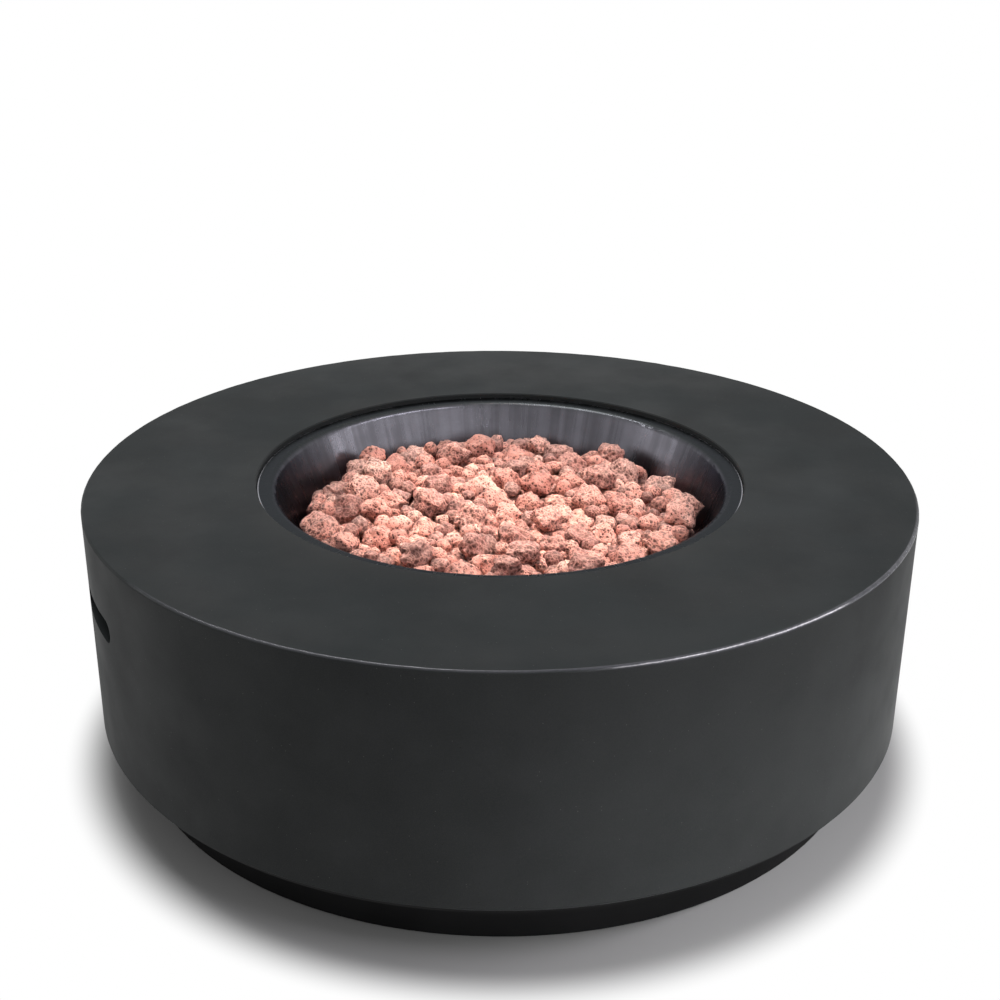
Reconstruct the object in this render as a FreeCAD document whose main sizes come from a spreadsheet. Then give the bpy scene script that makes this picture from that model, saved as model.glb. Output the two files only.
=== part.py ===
import FreeCAD, Part
import itertools
import math
import os
import random
import re

import Sketcher
from FreeCAD import Placement, Rotation, Vector

# Round gas fire pit table: a cast concrete drum on a recessed steel plinth, with a spun
# steel fire bowl full of lava rock let into its top and the gas train hung underneath.
# Millimetres, +Z up, origin on the ground under the centre, the seen front faces -Y.

# Driving dimensions
SIZES = (
    # concrete drum
    ("top_diameter", 1067),
    ("body_height", 293),
    ("body_draft", 1.1),
    ("rim_radius", 7),
    ("wall_thickness", 22),
    ("deck_thickness", 30),
    ("foot_bevel", 3),
    ("deck_bevel", 20),
    ("opening_diameter", 633),
    ("opening_bevel", 1.5),
    ("rebate_depth", 8),
    ("ledge_width", 11),
    ("slot_length", 130),
    ("slot_height", 30),
    ("slot_drop", 99),
    ("slot_azimuth", 65.7),
    # lugs inside the drum and the bolts that hold the plinth to them
    ("lug_count", 6),
    ("lug_width", 44),
    ("lug_reach", 66),
    ("lug_height", 90),
    ("bolt_inset", 22),
    ("bolt_diameter", 8),
    ("bolt_head_height", 5.3),
    ("bolt_head_flats", 13),
    ("bolt_engagement", 24),
    ("insert_flats", 13),
    ("insert_length", 28),
    # steel plinth and its rubber pads
    ("plinth_recess", 49.5),
    ("plinth_height", 70),
    ("plinth_sheet", 3),
    ("plate_thickness", 5),
    ("plate_inset", 6),
    ("plate_width", 54),
    ("flange_width", 26),
    ("notch_width", 70),
    ("notch_height", 38),
    ("pad_count", 6),
    ("pad_thickness", 3),
    ("pad_diameter", 22),
    ("pad_stem_diameter", 8),
    ("pad_stem_proud", 2),
    # fire bowl
    ("bowl_sheet", 1.5),
    ("bowl_clearance", 1.5),
    ("mouth_diameter", 588),
    ("mouth_bend", 10),
    ("bowl_depth", 98),
    ("bowl_floor_diameter", 512),
    ("bowl_floor_bevel", 12),
    ("drain_count", 6),
    ("drain_diameter", 10),
    ("drain_circle", 430),
    # heat shield on four studs
    ("stud_count", 4),
    ("stud_diameter", 6),
    ("stud_circle", 340),
    ("spacer_length", 28),
    ("spacer_diameter", 10),
    ("shield_diameter", 420),
    ("shield_sheet", 1.2),
    ("shield_rim", 12),
    ("stud_nut_flats", 10),
    ("stud_nut_height", 5),
    # burner
    ("ring_across", 280),
    ("ring_axis_height", 13),
    ("tube_diameter", 14),
    ("tube_wall", 1.5),
    ("port_count", 16),
    ("port_diameter", 2.5),
    ("hub_diameter", 36),
    ("hub_height", 14),
    ("stub_diameter", 21),
    ("stub_bore", 15),
    ("stub_engagement", 5),
    ("stub_nut_flats", 32),
    ("stub_nut_height", 6),
    ("leg_width", 12),
    ("leg_length", 9),
    # air mixer below the bowl
    ("mixer_diameter", 27),
    ("mixer_drop", 53),
    ("mixer_height", 64),
    ("mixer_socket", 15),
    ("mixer_collar_diameter", 34),
    ("mixer_collar_height", 4),
    ("mixer_neck_height", 17),
    ("window_width", 11),
    ("window_height", 14),
    ("shutter_height", 24),
    ("shutter_wall", 1.6),
    ("spud_diameter", 12),
    ("spud_flats", 17),
    ("spud_hex_height", 9),
    ("flare_diameter", 15.9),
    ("flare_length", 14),
    ("hose_nut_flats", 22),
    ("hose_nut_height", 24),
    ("hose_diameter", 12),
    ("gas_bore", 8),
    # control panel in its window at the back
    ("panel_recess", 43.5),
    ("panel_height", 220),
    ("panel_width", 190),
    ("panel_depth", 104),
    ("panel_sheet", 2),
    ("panel_window_width", 136),
    ("panel_window_height", 68),
    ("panel_margin", 5),
    ("panel_corner", 8),
    ("panel_screw_inset", 11),
    ("panel_screw_diameter", 5),
    ("panel_screw_length", 14),
    # valve, its spindle and knob
    ("valve_offset", 34),
    ("valve_width", 40),
    ("valve_height", 34),
    ("valve_length", 40),
    ("valve_stand", 10),
    ("neck_diameter", 18),
    ("neck_proud", 5),
    ("plug_diameter", 16),
    ("stem_diameter", 8),
    ("knob_diameter", 44),
    ("knob_height", 24),
    ("knob_gap", 4),
    ("knob_travel", 3),
    ("knob_flutes", 8),
    ("flute_diameter", 8),
    ("valve_nut_flats", 24),
    ("valve_nut_height", 4),
    # push igniter
    ("igniter_offset", 40),
    ("igniter_flange", 30),
    ("igniter_thread", 22),
    ("igniter_nut_flats", 28),
    ("igniter_nut_height", 6),
    ("button_diameter", 16),
    ("button_travel", 5),
    # pilot parts in the bowl
    ("pilot_distance", 108),
    ("pilot_spacing", 24),
    ("pilot_height", 12),
    ("flame_rod_reach", 20),
    ("pilot_sheet", 1.5),
    ("insulator_diameter", 7),
    ("rod_diameter", 2.4),
    ("sensor_diameter", 6),
    ("wire_diameter", 4.5),
    ("capillary_diameter", 3),
    # gas inlet at the foot
    ("inlet_height", 24),
    ("inlet_shank", 18),
    ("inlet_nut_flats", 25),
    ("inlet_bracket_width", 40),
    ("inlet_bracket_sheet", 3),
    ("supply_diameter", 9.5),
    # fits
    ("thread_clearance", 0.1),
    ("running_clearance", 0.08),
    ("hole_clearance", 0.5),
    ("moving_gap", 0.4),
    # lava rock
    ("rock_size", 46),
    ("rock_gap", 0.15),
    ("rock_spread", 248),
    ("rock_clearance", 21),
)
LOWER_ROCKS = 90
UPPER_ROCKS = 112

doc = FreeCAD.newDocument("fire_pit_table")
sizes = doc.addObject("Spreadsheet::Sheet", "sizes")
for row, (alias, value) in enumerate(SIZES, start=1):
    sizes.set(f"A{row}", alias)
    sizes.set(f"B{row}", str(value))
    sizes.setAlias(f"B{row}", alias)
doc.recompute()
NAMES = {alias for alias, value in SIZES}

# Levels and radii that several pieces share
PLATE_TOP = "(pad_thickness + plinth_height)"
TABLE_TOP = f"({PLATE_TOP} + body_height)"
DECK_BOTTOM = f"({TABLE_TOP} - deck_thickness)"
LEDGE = f"({TABLE_TOP} - rebate_depth)"
LEDGE_RADIUS = "(opening_diameter / 2 - ledge_width)"
INNER_RADIUS = "(top_diameter / 2 - wall_thickness)"
FOOT_EDGE_RADIUS = "(top_diameter / 2 - body_draft)"
PLINTH_RADIUS = "(top_diameter / 2 - plinth_recess)"
PLATE_INSIDE = f"({PLINTH_RADIUS} - plate_width)"
BOLT_RADIUS = f"({PLINTH_RADIUS} - bolt_inset)"
PANEL_Y = "(top_diameter / 2 - panel_recess)"
BOWL_FLOOR = f"({LEDGE} + bowl_sheet - bowl_depth)"
BOWL_UNDERSIDE = f"({BOWL_FLOOR} - bowl_sheet)"
SHIELD_TOP = f"({BOWL_UNDERSIDE} - spacer_length)"
RING_AXIS = f"({BOWL_FLOOR} + ring_axis_height)"
MIXER_TOP = f"({BOWL_UNDERSIDE} - mixer_drop)"
MIXER_BOTTOM = f"({MIXER_TOP} - mixer_height)"
COLLAR_TOP = f"({MIXER_BOTTOM} + mixer_neck_height + mixer_collar_height)"
FLARE_BOTTOM = f"({MIXER_BOTTOM} - spud_hex_height - flare_length)"


def bind(text):
    """Turn the size names of an expression into references to the sheet."""
    def refer(word):
        return f"sizes.{word[0]}" if word[0] in NAMES else word[0]
    return re.sub(r"[a-z_]+", refer, str(text))


def number(text):
    return float(sizes.evalExpression(bind(text)))


# Sketches and features
def origin_part(piece, role):
    return next(item for item in piece.Origin.OriginFeatures if item.Role == role)


def piece_body(label, x="0", y="0", z="0", rotation=None):
    piece = doc.addObject("PartDesign::Body", label)
    piece.Label = label
    if rotation:
        piece.Placement = Placement(Vector(), rotation)
    for letter, text in zip("xyz", (x, y, z)):
        piece.setExpression(f"Placement.Base.{letter}", bind(text))
    return piece


def new_sketch(piece, role, offset, turn):
    drawing = piece.newObject("Sketcher::SketchObject", f"{piece.Name}_sketch")
    drawing.AttachmentSupport = (origin_part(piece, role), [""])
    drawing.MapMode = "FlatFace"
    if turn != "0":
        drawing.AttachmentOffset = Placement(Vector(), Rotation(Vector(0, 1, 0), 1))
        drawing.setExpression("AttachmentOffset.Rotation.Angle", bind(turn))
    drawing.setExpression("AttachmentOffset.Base.z", bind(offset))
    return drawing


def hold(drawing, kind, geometry, point, text):
    """Bind a distance from the sketch origin to the sizes."""
    value = number(text)
    if abs(value) < 1e-9:
        axis = -2 if kind == "DistanceX" else -1
        drawing.addConstraint(Sketcher.Constraint("PointOnObject", geometry, point, axis))
        return
    index = drawing.addConstraint(Sketcher.Constraint(kind, -1, 1, geometry, point, value))
    drawing.setExpression(f"Constraints[{index}]", bind(text))


def polygon(piece, corners, role="XZ_Plane", offset="0", turn="0"):
    drawing = new_sketch(piece, role, offset, turn)
    points = [Vector(number(x), number(y), 0) for x, y in corners]
    count = len(points)
    for index in range(count):
        drawing.addGeometry(Part.LineSegment(points[index], points[(index + 1) % count]))
    for index in range(count):
        drawing.addConstraint(Sketcher.Constraint("Coincident", index, 2, (index + 1) % count, 1))
    for index, (x, y) in enumerate(corners):
        hold(drawing, "DistanceX", index, 1, x)
        hold(drawing, "DistanceY", index, 1, y)
    return drawing


def rectangle(piece, x0, x1, y0, y1, role="XY_Plane", offset="0", turn="0"):
    return polygon(piece, ((x0, y0), (x1, y0), (x1, y1), (x0, y1)), role, offset, turn)


def hexagon(piece, flats, x="0", y="0", role="XY_Plane", offset="0"):
    corners = []
    for step in range(6):
        angle = math.radians(60 * step)
        reach = f"({flats}) / 2 / {math.cos(math.radians(30)):.9f}"
        corners.append((f"{x} + {reach} * {math.cos(angle):.9f}", f"{y} + {reach} * {math.sin(angle):.9f}"))
    return polygon(piece, corners, role, offset)


def discs(piece, items, role="XY_Plane", offset="0", turn="0"):
    """Circles given as x, y and diameter."""
    drawing = new_sketch(piece, role, offset, turn)
    for x, y, diameter in items:
        centre = Vector(number(x), number(y), 0)
        index = drawing.addGeometry(Part.Circle(centre, Vector(0, 0, 1), number(diameter) / 2))
        hold(drawing, "DistanceX", index, 3, x)
        hold(drawing, "DistanceY", index, 3, y)
        radius = drawing.addConstraint(Sketcher.Constraint("Diameter", index, number(diameter)))
        drawing.setExpression(f"Constraints[{radius}]", bind(diameter))
    return drawing


def feature(piece, kind, drawing):
    doc.recompute()
    step = piece.newObject(f"PartDesign::{kind}", f"{piece.Name}_{kind}")
    step.Profile = drawing
    return step


def revolve(piece, drawing, kind="Revolution"):
    step = feature(piece, kind, drawing)
    step.ReferenceAxis = (drawing, ["V_Axis"])
    step.Angle = 360
    return step


def extrude(piece, drawing, length, kind="Pad", symmetric=False, back=False):
    step = feature(piece, kind, drawing)
    step.SideType = "Symmetric" if symmetric else "One side"
    step.Reversed = back
    step.setExpression("Length", bind(length))
    return step


def pocket(piece, drawing, length, symmetric=False, back=False):
    doc.recompute()
    before = piece.Shape.Volume
    step = extrude(piece, drawing, length, "Pocket", symmetric, back)
    doc.recompute()
    if piece.Shape.Volume >= before - 1e-6:
        raise ValueError(f"a pocket of {piece.Label} cuts nothing")
    return step


def polar(piece, steps, count):
    pattern = piece.newObject("PartDesign::PolarPattern", f"{piece.Name}_pattern")
    pattern.Originals = steps
    pattern.Axis = (origin_part(piece, "Z_Axis"), [""])
    pattern.Angle = 360
    pattern.setExpression("Occurrences", bind(count))
    piece.Tip = pattern
    doc.recompute()
    return pattern


def round_edges(piece, radius, wanted):
    doc.recompute()
    tip = piece.Tip
    names = [f"Edge{index}" for index, edge in enumerate(tip.Shape.Edges, start=1) if wanted(edge)]
    if not names:
        raise ValueError(f"no edge of {piece.Label} to round")
    step = piece.newObject("PartDesign::Fillet", f"{piece.Name}_Fillet")
    step.Base = (tip, names)
    step.setExpression("Radius", bind(radius))
    doc.recompute()
    return step


def ring_at(radius, height):
    """Choose the full circles of one radius at one height."""
    def wanted(edge):
        curve = edge.Curve
        if not isinstance(curve, Part.Circle) or abs(curve.Axis.z) < 0.99:
            return False
        near_radius = abs(curve.Radius - number(radius)) < 0.01
        return near_radius and abs(curve.Center.z - number(height)) < 0.01
    return wanted


def upright(edge):
    if not isinstance(edge.Curve, Part.Line):
        return False
    return abs(edge.Curve.Direction.z) > 0.999


def solid_feature(label, shape):
    piece = doc.addObject("Part::Feature", label)
    piece.Label = label
    piece.Shape = shape
    return piece


def bent_tube(label, points, bends, diameter):
    """A round tube along straight runs joined by tangent arcs."""
    corners = [Vector(*(number(value) for value in point)) for point in points]
    edges = []
    start = corners[0]
    for index, radius in enumerate(bends, start=1):
        corner = corners[index]
        into = (corner - corners[index - 1]).normalize()
        out = (corners[index + 1] - corner).normalize()
        half_turn = into.getAngle(out) / 2
        reach = number(radius) * math.tan(half_turn)
        first = corner - into * reach
        last = corner + out * reach
        inward = (out - into).normalize()
        middle = corner + inward * number(radius) * (1 / math.cos(half_turn) - 1)
        edges.append(Part.LineSegment(start, first).toShape())
        edges.append(Part.Arc(first, middle, last).toShape())
        start = last
    edges.append(Part.LineSegment(start, corners[-1]).toShape())
    path = Part.Wire(edges)
    heading = (corners[1] - corners[0]).normalize()
    section = Part.Wire(Part.makeCircle(number(diameter) / 2, corners[0], heading))
    tube = path.makePipe(Part.Face(section))
    expected = math.pi * number(diameter) ** 2 / 4 * path.Length
    if abs(tube.Volume / expected - 1) > 0.01:
        raise ValueError(f"{label} has the wrong volume")
    return solid_feature(label, tube)


# Concrete drum: one casting, open underneath, with a stepped opening for the bowl
drum = piece_body("concrete_body")
revolve(drum, polygon(drum, (
    ("opening_diameter / 2 + opening_bevel", TABLE_TOP),
    ("top_diameter / 2", TABLE_TOP),
    (FOOT_EDGE_RADIUS, f"{PLATE_TOP} + foot_bevel"),
    (f"{FOOT_EDGE_RADIUS} - foot_bevel", PLATE_TOP),
    (INNER_RADIUS, PLATE_TOP),
    (INNER_RADIUS, f"{DECK_BOTTOM} - deck_bevel"),
    (f"{INNER_RADIUS} - deck_bevel", DECK_BOTTOM),
    (LEDGE_RADIUS, DECK_BOTTOM),
    (LEDGE_RADIUS, LEDGE),
    ("opening_diameter / 2", LEDGE),
    ("opening_diameter / 2", f"{TABLE_TOP} - opening_bevel"),
)))
round_edges(drum, "rim_radius", ring_at("top_diameter / 2", TABLE_TOP))

# Tapered lugs inside the wall take the plinth bolts
lug_sketch = polygon(drum, (
    (f"{INNER_RADIUS} - lug_reach", PLATE_TOP),
    (f"{INNER_RADIUS} + wall_thickness / 3", PLATE_TOP),
    (f"{INNER_RADIUS} + wall_thickness / 3", f"{PLATE_TOP} + lug_height"),
    (f"{INNER_RADIUS} - lug_reach", f"{PLATE_TOP} + lug_height / 2"),
))
lug = extrude(drum, lug_sketch, "lug_width", symmetric=True)
polar(drum, [lug], "lug_count")
insert_socket = hexagon(drum, "insert_flats + thread_clearance * 2", BOLT_RADIUS, offset=PLATE_TOP)
insert_hole = pocket(drum, insert_socket, "insert_length", back=True)
polar(drum, [insert_hole], "lug_count")

# Two hand slots face each other through the wall
slot_end = "(slot_length / 2 - slot_height / 2)"
slot_level = f"({TABLE_TOP} - slot_drop)"
slot_cut = rectangle(
    drum, f"-{slot_end}", slot_end, f"{slot_level} - slot_height / 2", f"{slot_level} + slot_height / 2",
    role="XZ_Plane", turn="-slot_azimuth")
pocket(drum, slot_cut, "top_diameter * 1.1", symmetric=True)
slot_rounds = discs(
    drum, [(f"-{slot_end}", slot_level, "slot_height"), (slot_end, slot_level, "slot_height")],
    role="XZ_Plane", turn="-slot_azimuth")
pocket(drum, slot_rounds, "top_diameter * 1.1", symmetric=True)

# A flat pad behind the wall carries the control panel, with a window through both
pad_half_width = "(panel_width / 2 + panel_margin)"
pad_half_height = "(panel_depth / 2 + panel_margin)"
panel_pad = rectangle(
    drum, f"-{pad_half_width}", pad_half_width,
    f"panel_height - {pad_half_height}", f"panel_height + {pad_half_height}",
    role="XZ_Plane", offset=f"-{PANEL_Y}")
pad_reach = f"sqrt(pow({FOOT_EDGE_RADIUS}; 2) - pow({pad_half_width}; 2)) - {PANEL_Y} - wall_thickness / 4"
extrude(drum, panel_pad, pad_reach, back=True)
panel_window = rectangle(
    drum, "-panel_window_width / 2", "panel_window_width / 2",
    "panel_height - panel_window_height / 2", "panel_height + panel_window_height / 2",
    role="XZ_Plane", offset=f"-{PANEL_Y}")
pocket(drum, panel_window, "panel_recess")
screw_x = "(panel_width / 2 - panel_screw_inset)"
screw_z = "(panel_depth / 2 - panel_screw_inset)"
screw_places = [
    (f"{side} * {screw_x}", f"panel_height + {level} * {screw_z}") for side in (-1, 1) for level in (-1, 1)]
screw_holes = discs(
    drum, [(x, z, "panel_screw_diameter + thread_clearance * 2") for x, z in screw_places],
    role="XZ_Plane", offset=f"-{PANEL_Y}")
pocket(drum, screw_holes, "panel_screw_length")

# Hexagonal brass inserts cast into the lugs
inserts = piece_body("body_inserts")
insert_block = extrude(inserts, hexagon(inserts, "insert_flats", BOLT_RADIUS, offset=PLATE_TOP), "insert_length")
insert_thread = pocket(
    inserts, discs(inserts, [(BOLT_RADIUS, "0", "bolt_diameter + thread_clearance * 2")], offset=PLATE_TOP),
    "insert_length", back=True)
polar(inserts, [insert_block, insert_thread], "lug_count")

# Steel plinth: top plate under the wall, rolled skirt, and a foot flange turned inwards
plinth = piece_body("base_plinth")
PLATE_BOTTOM = f"({PLATE_TOP} - plate_thickness)"
SKIRT_INSIDE = f"({PLINTH_RADIUS} - plinth_sheet)"
revolve(plinth, polygon(plinth, (
    (PLATE_INSIDE, PLATE_TOP),
    (f"{FOOT_EDGE_RADIUS} - plate_inset", PLATE_TOP),
    (f"{FOOT_EDGE_RADIUS} - plate_inset", PLATE_BOTTOM),
    (PLINTH_RADIUS, PLATE_BOTTOM),
    (PLINTH_RADIUS, "pad_thickness"),
    (f"{PLINTH_RADIUS} - flange_width", "pad_thickness"),
    (f"{PLINTH_RADIUS} - flange_width", "pad_thickness + plinth_sheet"),
    (SKIRT_INSIDE, "pad_thickness + plinth_sheet"),
    (SKIRT_INSIDE, PLATE_BOTTOM),
    (PLATE_INSIDE, PLATE_BOTTOM),
)))
bolt_hole = pocket(
    plinth, discs(plinth, [(BOLT_RADIUS, "0", "bolt_diameter + hole_clearance * 2")], offset=PLATE_TOP),
    "plate_thickness")
polar(plinth, [bolt_hole], "lug_count")
PAD_CIRCLE = f"({PLINTH_RADIUS} - plinth_sheet - (flange_width - plinth_sheet) / 2)"
pad_hole = pocket(
    plinth, discs(plinth, [(PAD_CIRCLE, "0", "pad_stem_diameter + thread_clearance * 2")], offset="pad_thickness"),
    "plinth_sheet", back=True)
polar(plinth, [pad_hole], "pad_count")
notch = rectangle(
    plinth, "-notch_width / 2", "notch_width / 2", "0", "pad_thickness + notch_height", role="XZ_Plane")
pocket(plinth, notch, f"{PLINTH_RADIUS} * 1.2")
INLET_Y = f"({PLATE_INSIDE} + 22)"
bracket_holes = [
    (f"{side} * inlet_bracket_width / 4", INLET_Y, "bolt_diameter * 0.75 + hole_clearance * 2") for side in (-1, 1)]
pocket(plinth, discs(plinth, bracket_holes, offset=PLATE_TOP), "plate_thickness")

bolts = piece_body("plinth_bolts")
head = extrude(
    bolts, hexagon(bolts, "bolt_head_flats", BOLT_RADIUS, offset=f"{PLATE_BOTTOM} - bolt_head_height"),
    "bolt_head_height")
shank = extrude(
    bolts, discs(bolts, [(BOLT_RADIUS, "0", "bolt_diameter")], offset=PLATE_BOTTOM),
    "plate_thickness + bolt_engagement")
polar(bolts, [head, shank], "lug_count")

pads = piece_body("foot_pads")
pad_disc = extrude(pads, discs(pads, [(PAD_CIRCLE, "0", "pad_diameter")]), "pad_thickness")
pad_stem = extrude(
    pads, discs(pads, [(PAD_CIRCLE, "0", "pad_stem_diameter")], offset="pad_thickness"),
    "plinth_sheet + pad_stem_proud")
polar(pads, [pad_disc, pad_stem], "pad_count")

# Fire bowl: spun steel pan whose flange lies on the ledge
bowl = piece_body("fire_bowl")
BOWL_SLOPE = "((mouth_diameter - bowl_floor_diameter) / 2 / bowl_depth)"
BEVEL_TOP = f"({BOWL_FLOOR} + bowl_floor_bevel)"
BOWL_WALL = f"(bowl_sheet * sqrt(1 + pow({BOWL_SLOPE}; 2)) - bowl_sheet * {BOWL_SLOPE})"
UNDER_BEVEL = "(mouth_bend / 2 - bowl_sheet)"
FLANGE_TOP = f"({LEDGE} + bowl_sheet)"
FLANGE_RADIUS = "(opening_diameter / 2 - bowl_clearance)"
revolve(bowl, polygon(bowl, (
    ("mouth_diameter / 2", FLANGE_TOP),
    (FLANGE_RADIUS, FLANGE_TOP),
    (FLANGE_RADIUS, LEDGE),
    (f"mouth_diameter / 2 + {BOWL_WALL} + {UNDER_BEVEL}", LEDGE),
    (f"mouth_diameter / 2 + {BOWL_WALL} - {UNDER_BEVEL} * {BOWL_SLOPE}", f"{LEDGE} - {UNDER_BEVEL}"),
    (f"bowl_floor_diameter / 2 + bowl_floor_bevel * {BOWL_SLOPE} + {BOWL_WALL}", BEVEL_TOP),
    (f"bowl_floor_diameter / 2 - bowl_floor_bevel + {BOWL_WALL}", BOWL_UNDERSIDE),
    ("0", BOWL_UNDERSIDE),
    ("0", BOWL_FLOOR),
    ("bowl_floor_diameter / 2 - bowl_floor_bevel", BOWL_FLOOR),
    (f"bowl_floor_diameter / 2 + bowl_floor_bevel * {BOWL_SLOPE}", BEVEL_TOP),
)))
round_edges(bowl, "mouth_bend", ring_at("mouth_diameter / 2", FLANGE_TOP))
pilot_holes = [
    ("pilot_spacing / 2", "pilot_distance", "insulator_diameter + hole_clearance * 4"),
    ("-pilot_spacing / 2", "pilot_distance", "sensor_diameter + hole_clearance * 4"),
]
pocket(bowl, discs(bowl, [("0", "0", "stub_diameter + hole_clearance * 2")] + pilot_holes, offset=BOWL_FLOOR),
       "bowl_sheet")
drain = pocket(bowl, discs(bowl, [("drain_circle / 2", "0", "drain_diameter")], offset=BOWL_FLOOR), "bowl_sheet")
polar(bowl, [drain], "drain_count")
stud_x = "stud_circle / 2 * cos(45)"
stud_y = "stud_circle / 2 * sin(45)"
STUD_LENGTH = "(spacer_length + shield_sheet + stud_nut_height + 2)"
stud = extrude(
    bowl, discs(bowl, [(stud_x, stud_y, "stud_diameter")], offset=BOWL_UNDERSIDE), STUD_LENGTH, back=True)
polar(bowl, [stud], "stud_count")

# Heat shield hung under the bowl on spacers
shield = piece_body("heat_shield")
shield_hole = "(stub_diameter / 2 + hole_clearance * 4)"
revolve(shield, polygon(shield, (
    (shield_hole, SHIELD_TOP),
    ("shield_diameter / 2", SHIELD_TOP),
    ("shield_diameter / 2", f"{SHIELD_TOP} - shield_rim"),
    ("shield_diameter / 2 - shield_sheet", f"{SHIELD_TOP} - shield_rim"),
    ("shield_diameter / 2 - shield_sheet", f"{SHIELD_TOP} - shield_sheet"),
    (shield_hole, f"{SHIELD_TOP} - shield_sheet"),
)))
pocket(shield, discs(shield, [
    ("pilot_spacing / 2", "pilot_distance", "insulator_diameter * 2"),
    ("-pilot_spacing / 2", "pilot_distance", "insulator_diameter * 2"),
], offset=SHIELD_TOP), "shield_sheet")
stud_hole = pocket(
    shield, discs(shield, [(stud_x, stud_y, "stud_diameter + hole_clearance * 2")], offset=SHIELD_TOP),
    "shield_sheet")
polar(shield, [stud_hole], "stud_count")

spacers = piece_body("shield_spacers")
spacer = extrude(spacers, discs(spacers, [
    (stud_x, stud_y, "spacer_diameter"),
    (stud_x, stud_y, "stud_diameter + thread_clearance * 2"),
], offset=SHIELD_TOP), "spacer_length")
polar(spacers, [spacer], "stud_count")

shield_nuts = piece_body("shield_nuts")
shield_nut = extrude(
    shield_nuts, hexagon(shield_nuts, "stud_nut_flats", stud_x, stud_y,
                         offset=f"{SHIELD_TOP} - shield_sheet - stud_nut_height"), "stud_nut_height")
shield_nut_bore = pocket(
    shield_nuts, discs(shield_nuts, [(stud_x, stud_y, "stud_diameter + thread_clearance * 2")],
                       offset=f"{SHIELD_TOP} - shield_sheet"), "stud_nut_height")
polar(shield_nuts, [shield_nut, shield_nut_bore], "stud_count")

# Burner: an eight-sided ring of welded tube, two feed tubes and a hub
burner = piece_body("burner_ring")
OCTAGON = math.cos(math.radians(22.5))
ring_corners = []
for step in range(8):
    angle = math.radians(45 * step + 22.5)
    reach = f"ring_across / 2 / {OCTAGON:.9f}"
    ring_corners.append((f"{reach} * {math.cos(angle):.9f}", f"{reach} * {math.sin(angle):.9f}"))
ring_path = polygon(burner, ring_corners, role="XY_Plane", offset=RING_AXIS)


def ring_pipe(kind, diameter):
    section = discs(burner, [("ring_across / 2", RING_AXIS, diameter)], role="XZ_Plane")
    step = feature(burner, kind, section)
    step.Spine = (ring_path, [f"Edge{index}" for index in range(1, 9)])
    step.Transition = "Right corner"
    doc.recompute()
    return step


ring_pipe("AdditivePipe", "tube_diameter")
extrude(burner, discs(burner, [("0", RING_AXIS, "tube_diameter")], role="YZ_Plane"), "ring_across", symmetric=True)
HUB_BOTTOM = f"({BOWL_FLOOR} + stub_nut_height)"
extrude(burner, discs(burner, [("0", "0", "hub_diameter")], offset=HUB_BOTTOM), "hub_height")
ring_pipe("SubtractivePipe", "tube_diameter - tube_wall * 2")
pocket(burner, discs(burner, [("0", RING_AXIS, "tube_diameter - tube_wall * 2")], role="YZ_Plane"),
       "ring_across", symmetric=True)
pocket(burner, discs(burner, [("0", "0", "stub_diameter + thread_clearance * 2")], offset=HUB_BOTTOM),
       "stub_engagement", back=True)
port = pocket(burner, discs(burner, [
    ("ring_across / 2 - tube_diameter / 4", "0", "port_diameter"),
], offset=RING_AXIS), "tube_diameter", back=True)
polar(burner, [port], "port_count")

# Four blocks under the middle of the slanting flats carry the ring
legs = piece_body("burner_legs", rotation=Rotation(Vector(0, 0, 1), 45))
leg = extrude(legs, rectangle(
    legs, "ring_across / 2 - leg_width / 2", "ring_across / 2 + leg_width / 2",
    "-leg_length / 2", "leg_length / 2", offset=BOWL_FLOOR), "ring_axis_height")
saddle = pocket(legs, discs(legs, [
    ("ring_across / 2", RING_AXIS, "tube_diameter + thread_clearance * 2"),
], role="XZ_Plane"), "leg_length * 2", symmetric=True)
polar(legs, [leg, saddle], "4")

stub = piece_body("burner_stub")
STUB_BOTTOM = f"({MIXER_TOP} - mixer_socket)"
extrude(stub, discs(stub, [("0", "0", "stub_diameter"), ("0", "0", "stub_bore")], offset=STUB_BOTTOM),
        f"{HUB_BOTTOM} + stub_engagement - {STUB_BOTTOM}")

stub_nuts = piece_body("burner_locknuts")
for level in (BOWL_FLOOR, f"{BOWL_UNDERSIDE} - stub_nut_height"):
    extrude(stub_nuts, hexagon(stub_nuts, "stub_nut_flats", offset=level), "stub_nut_height")
pocket(stub_nuts, discs(stub_nuts, [("0", "0", "stub_diameter + thread_clearance * 2")], offset=BOWL_FLOOR),
       "stub_nut_height * 4", symmetric=True)

# Air mixer with its turning shutter, and the gas orifice screwed in from below
mixer = piece_body("air_mixer")
revolve(mixer, polygon(mixer, (
    ("stub_diameter / 2 + thread_clearance", MIXER_TOP),
    ("mixer_diameter / 2", MIXER_TOP),
    ("mixer_diameter / 2", COLLAR_TOP),
    ("mixer_collar_diameter / 2", COLLAR_TOP),
    ("mixer_collar_diameter / 2", f"{COLLAR_TOP} - mixer_collar_height"),
    ("mixer_diameter / 2", f"{COLLAR_TOP} - mixer_collar_height"),
    ("mixer_diameter / 2 - 3", MIXER_BOTTOM),
    ("spud_diameter / 2 + thread_clearance", MIXER_BOTTOM),
    ("spud_diameter / 2 + thread_clearance", f"{COLLAR_TOP} - mixer_collar_height"),
    ("stub_bore / 2 + 1", COLLAR_TOP),
    ("stub_bore / 2 + 1", STUB_BOTTOM),
    ("stub_diameter / 2 + thread_clearance", STUB_BOTTOM),
)))
WINDOW_BOTTOM = f"({COLLAR_TOP} + moving_gap + (shutter_height - window_height) / 2)"
pocket(mixer, rectangle(
    mixer, "-window_width / 2", "window_width / 2", WINDOW_BOTTOM, f"{WINDOW_BOTTOM} + window_height",
    role="YZ_Plane"), "mixer_diameter * 2", symmetric=True)

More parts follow.
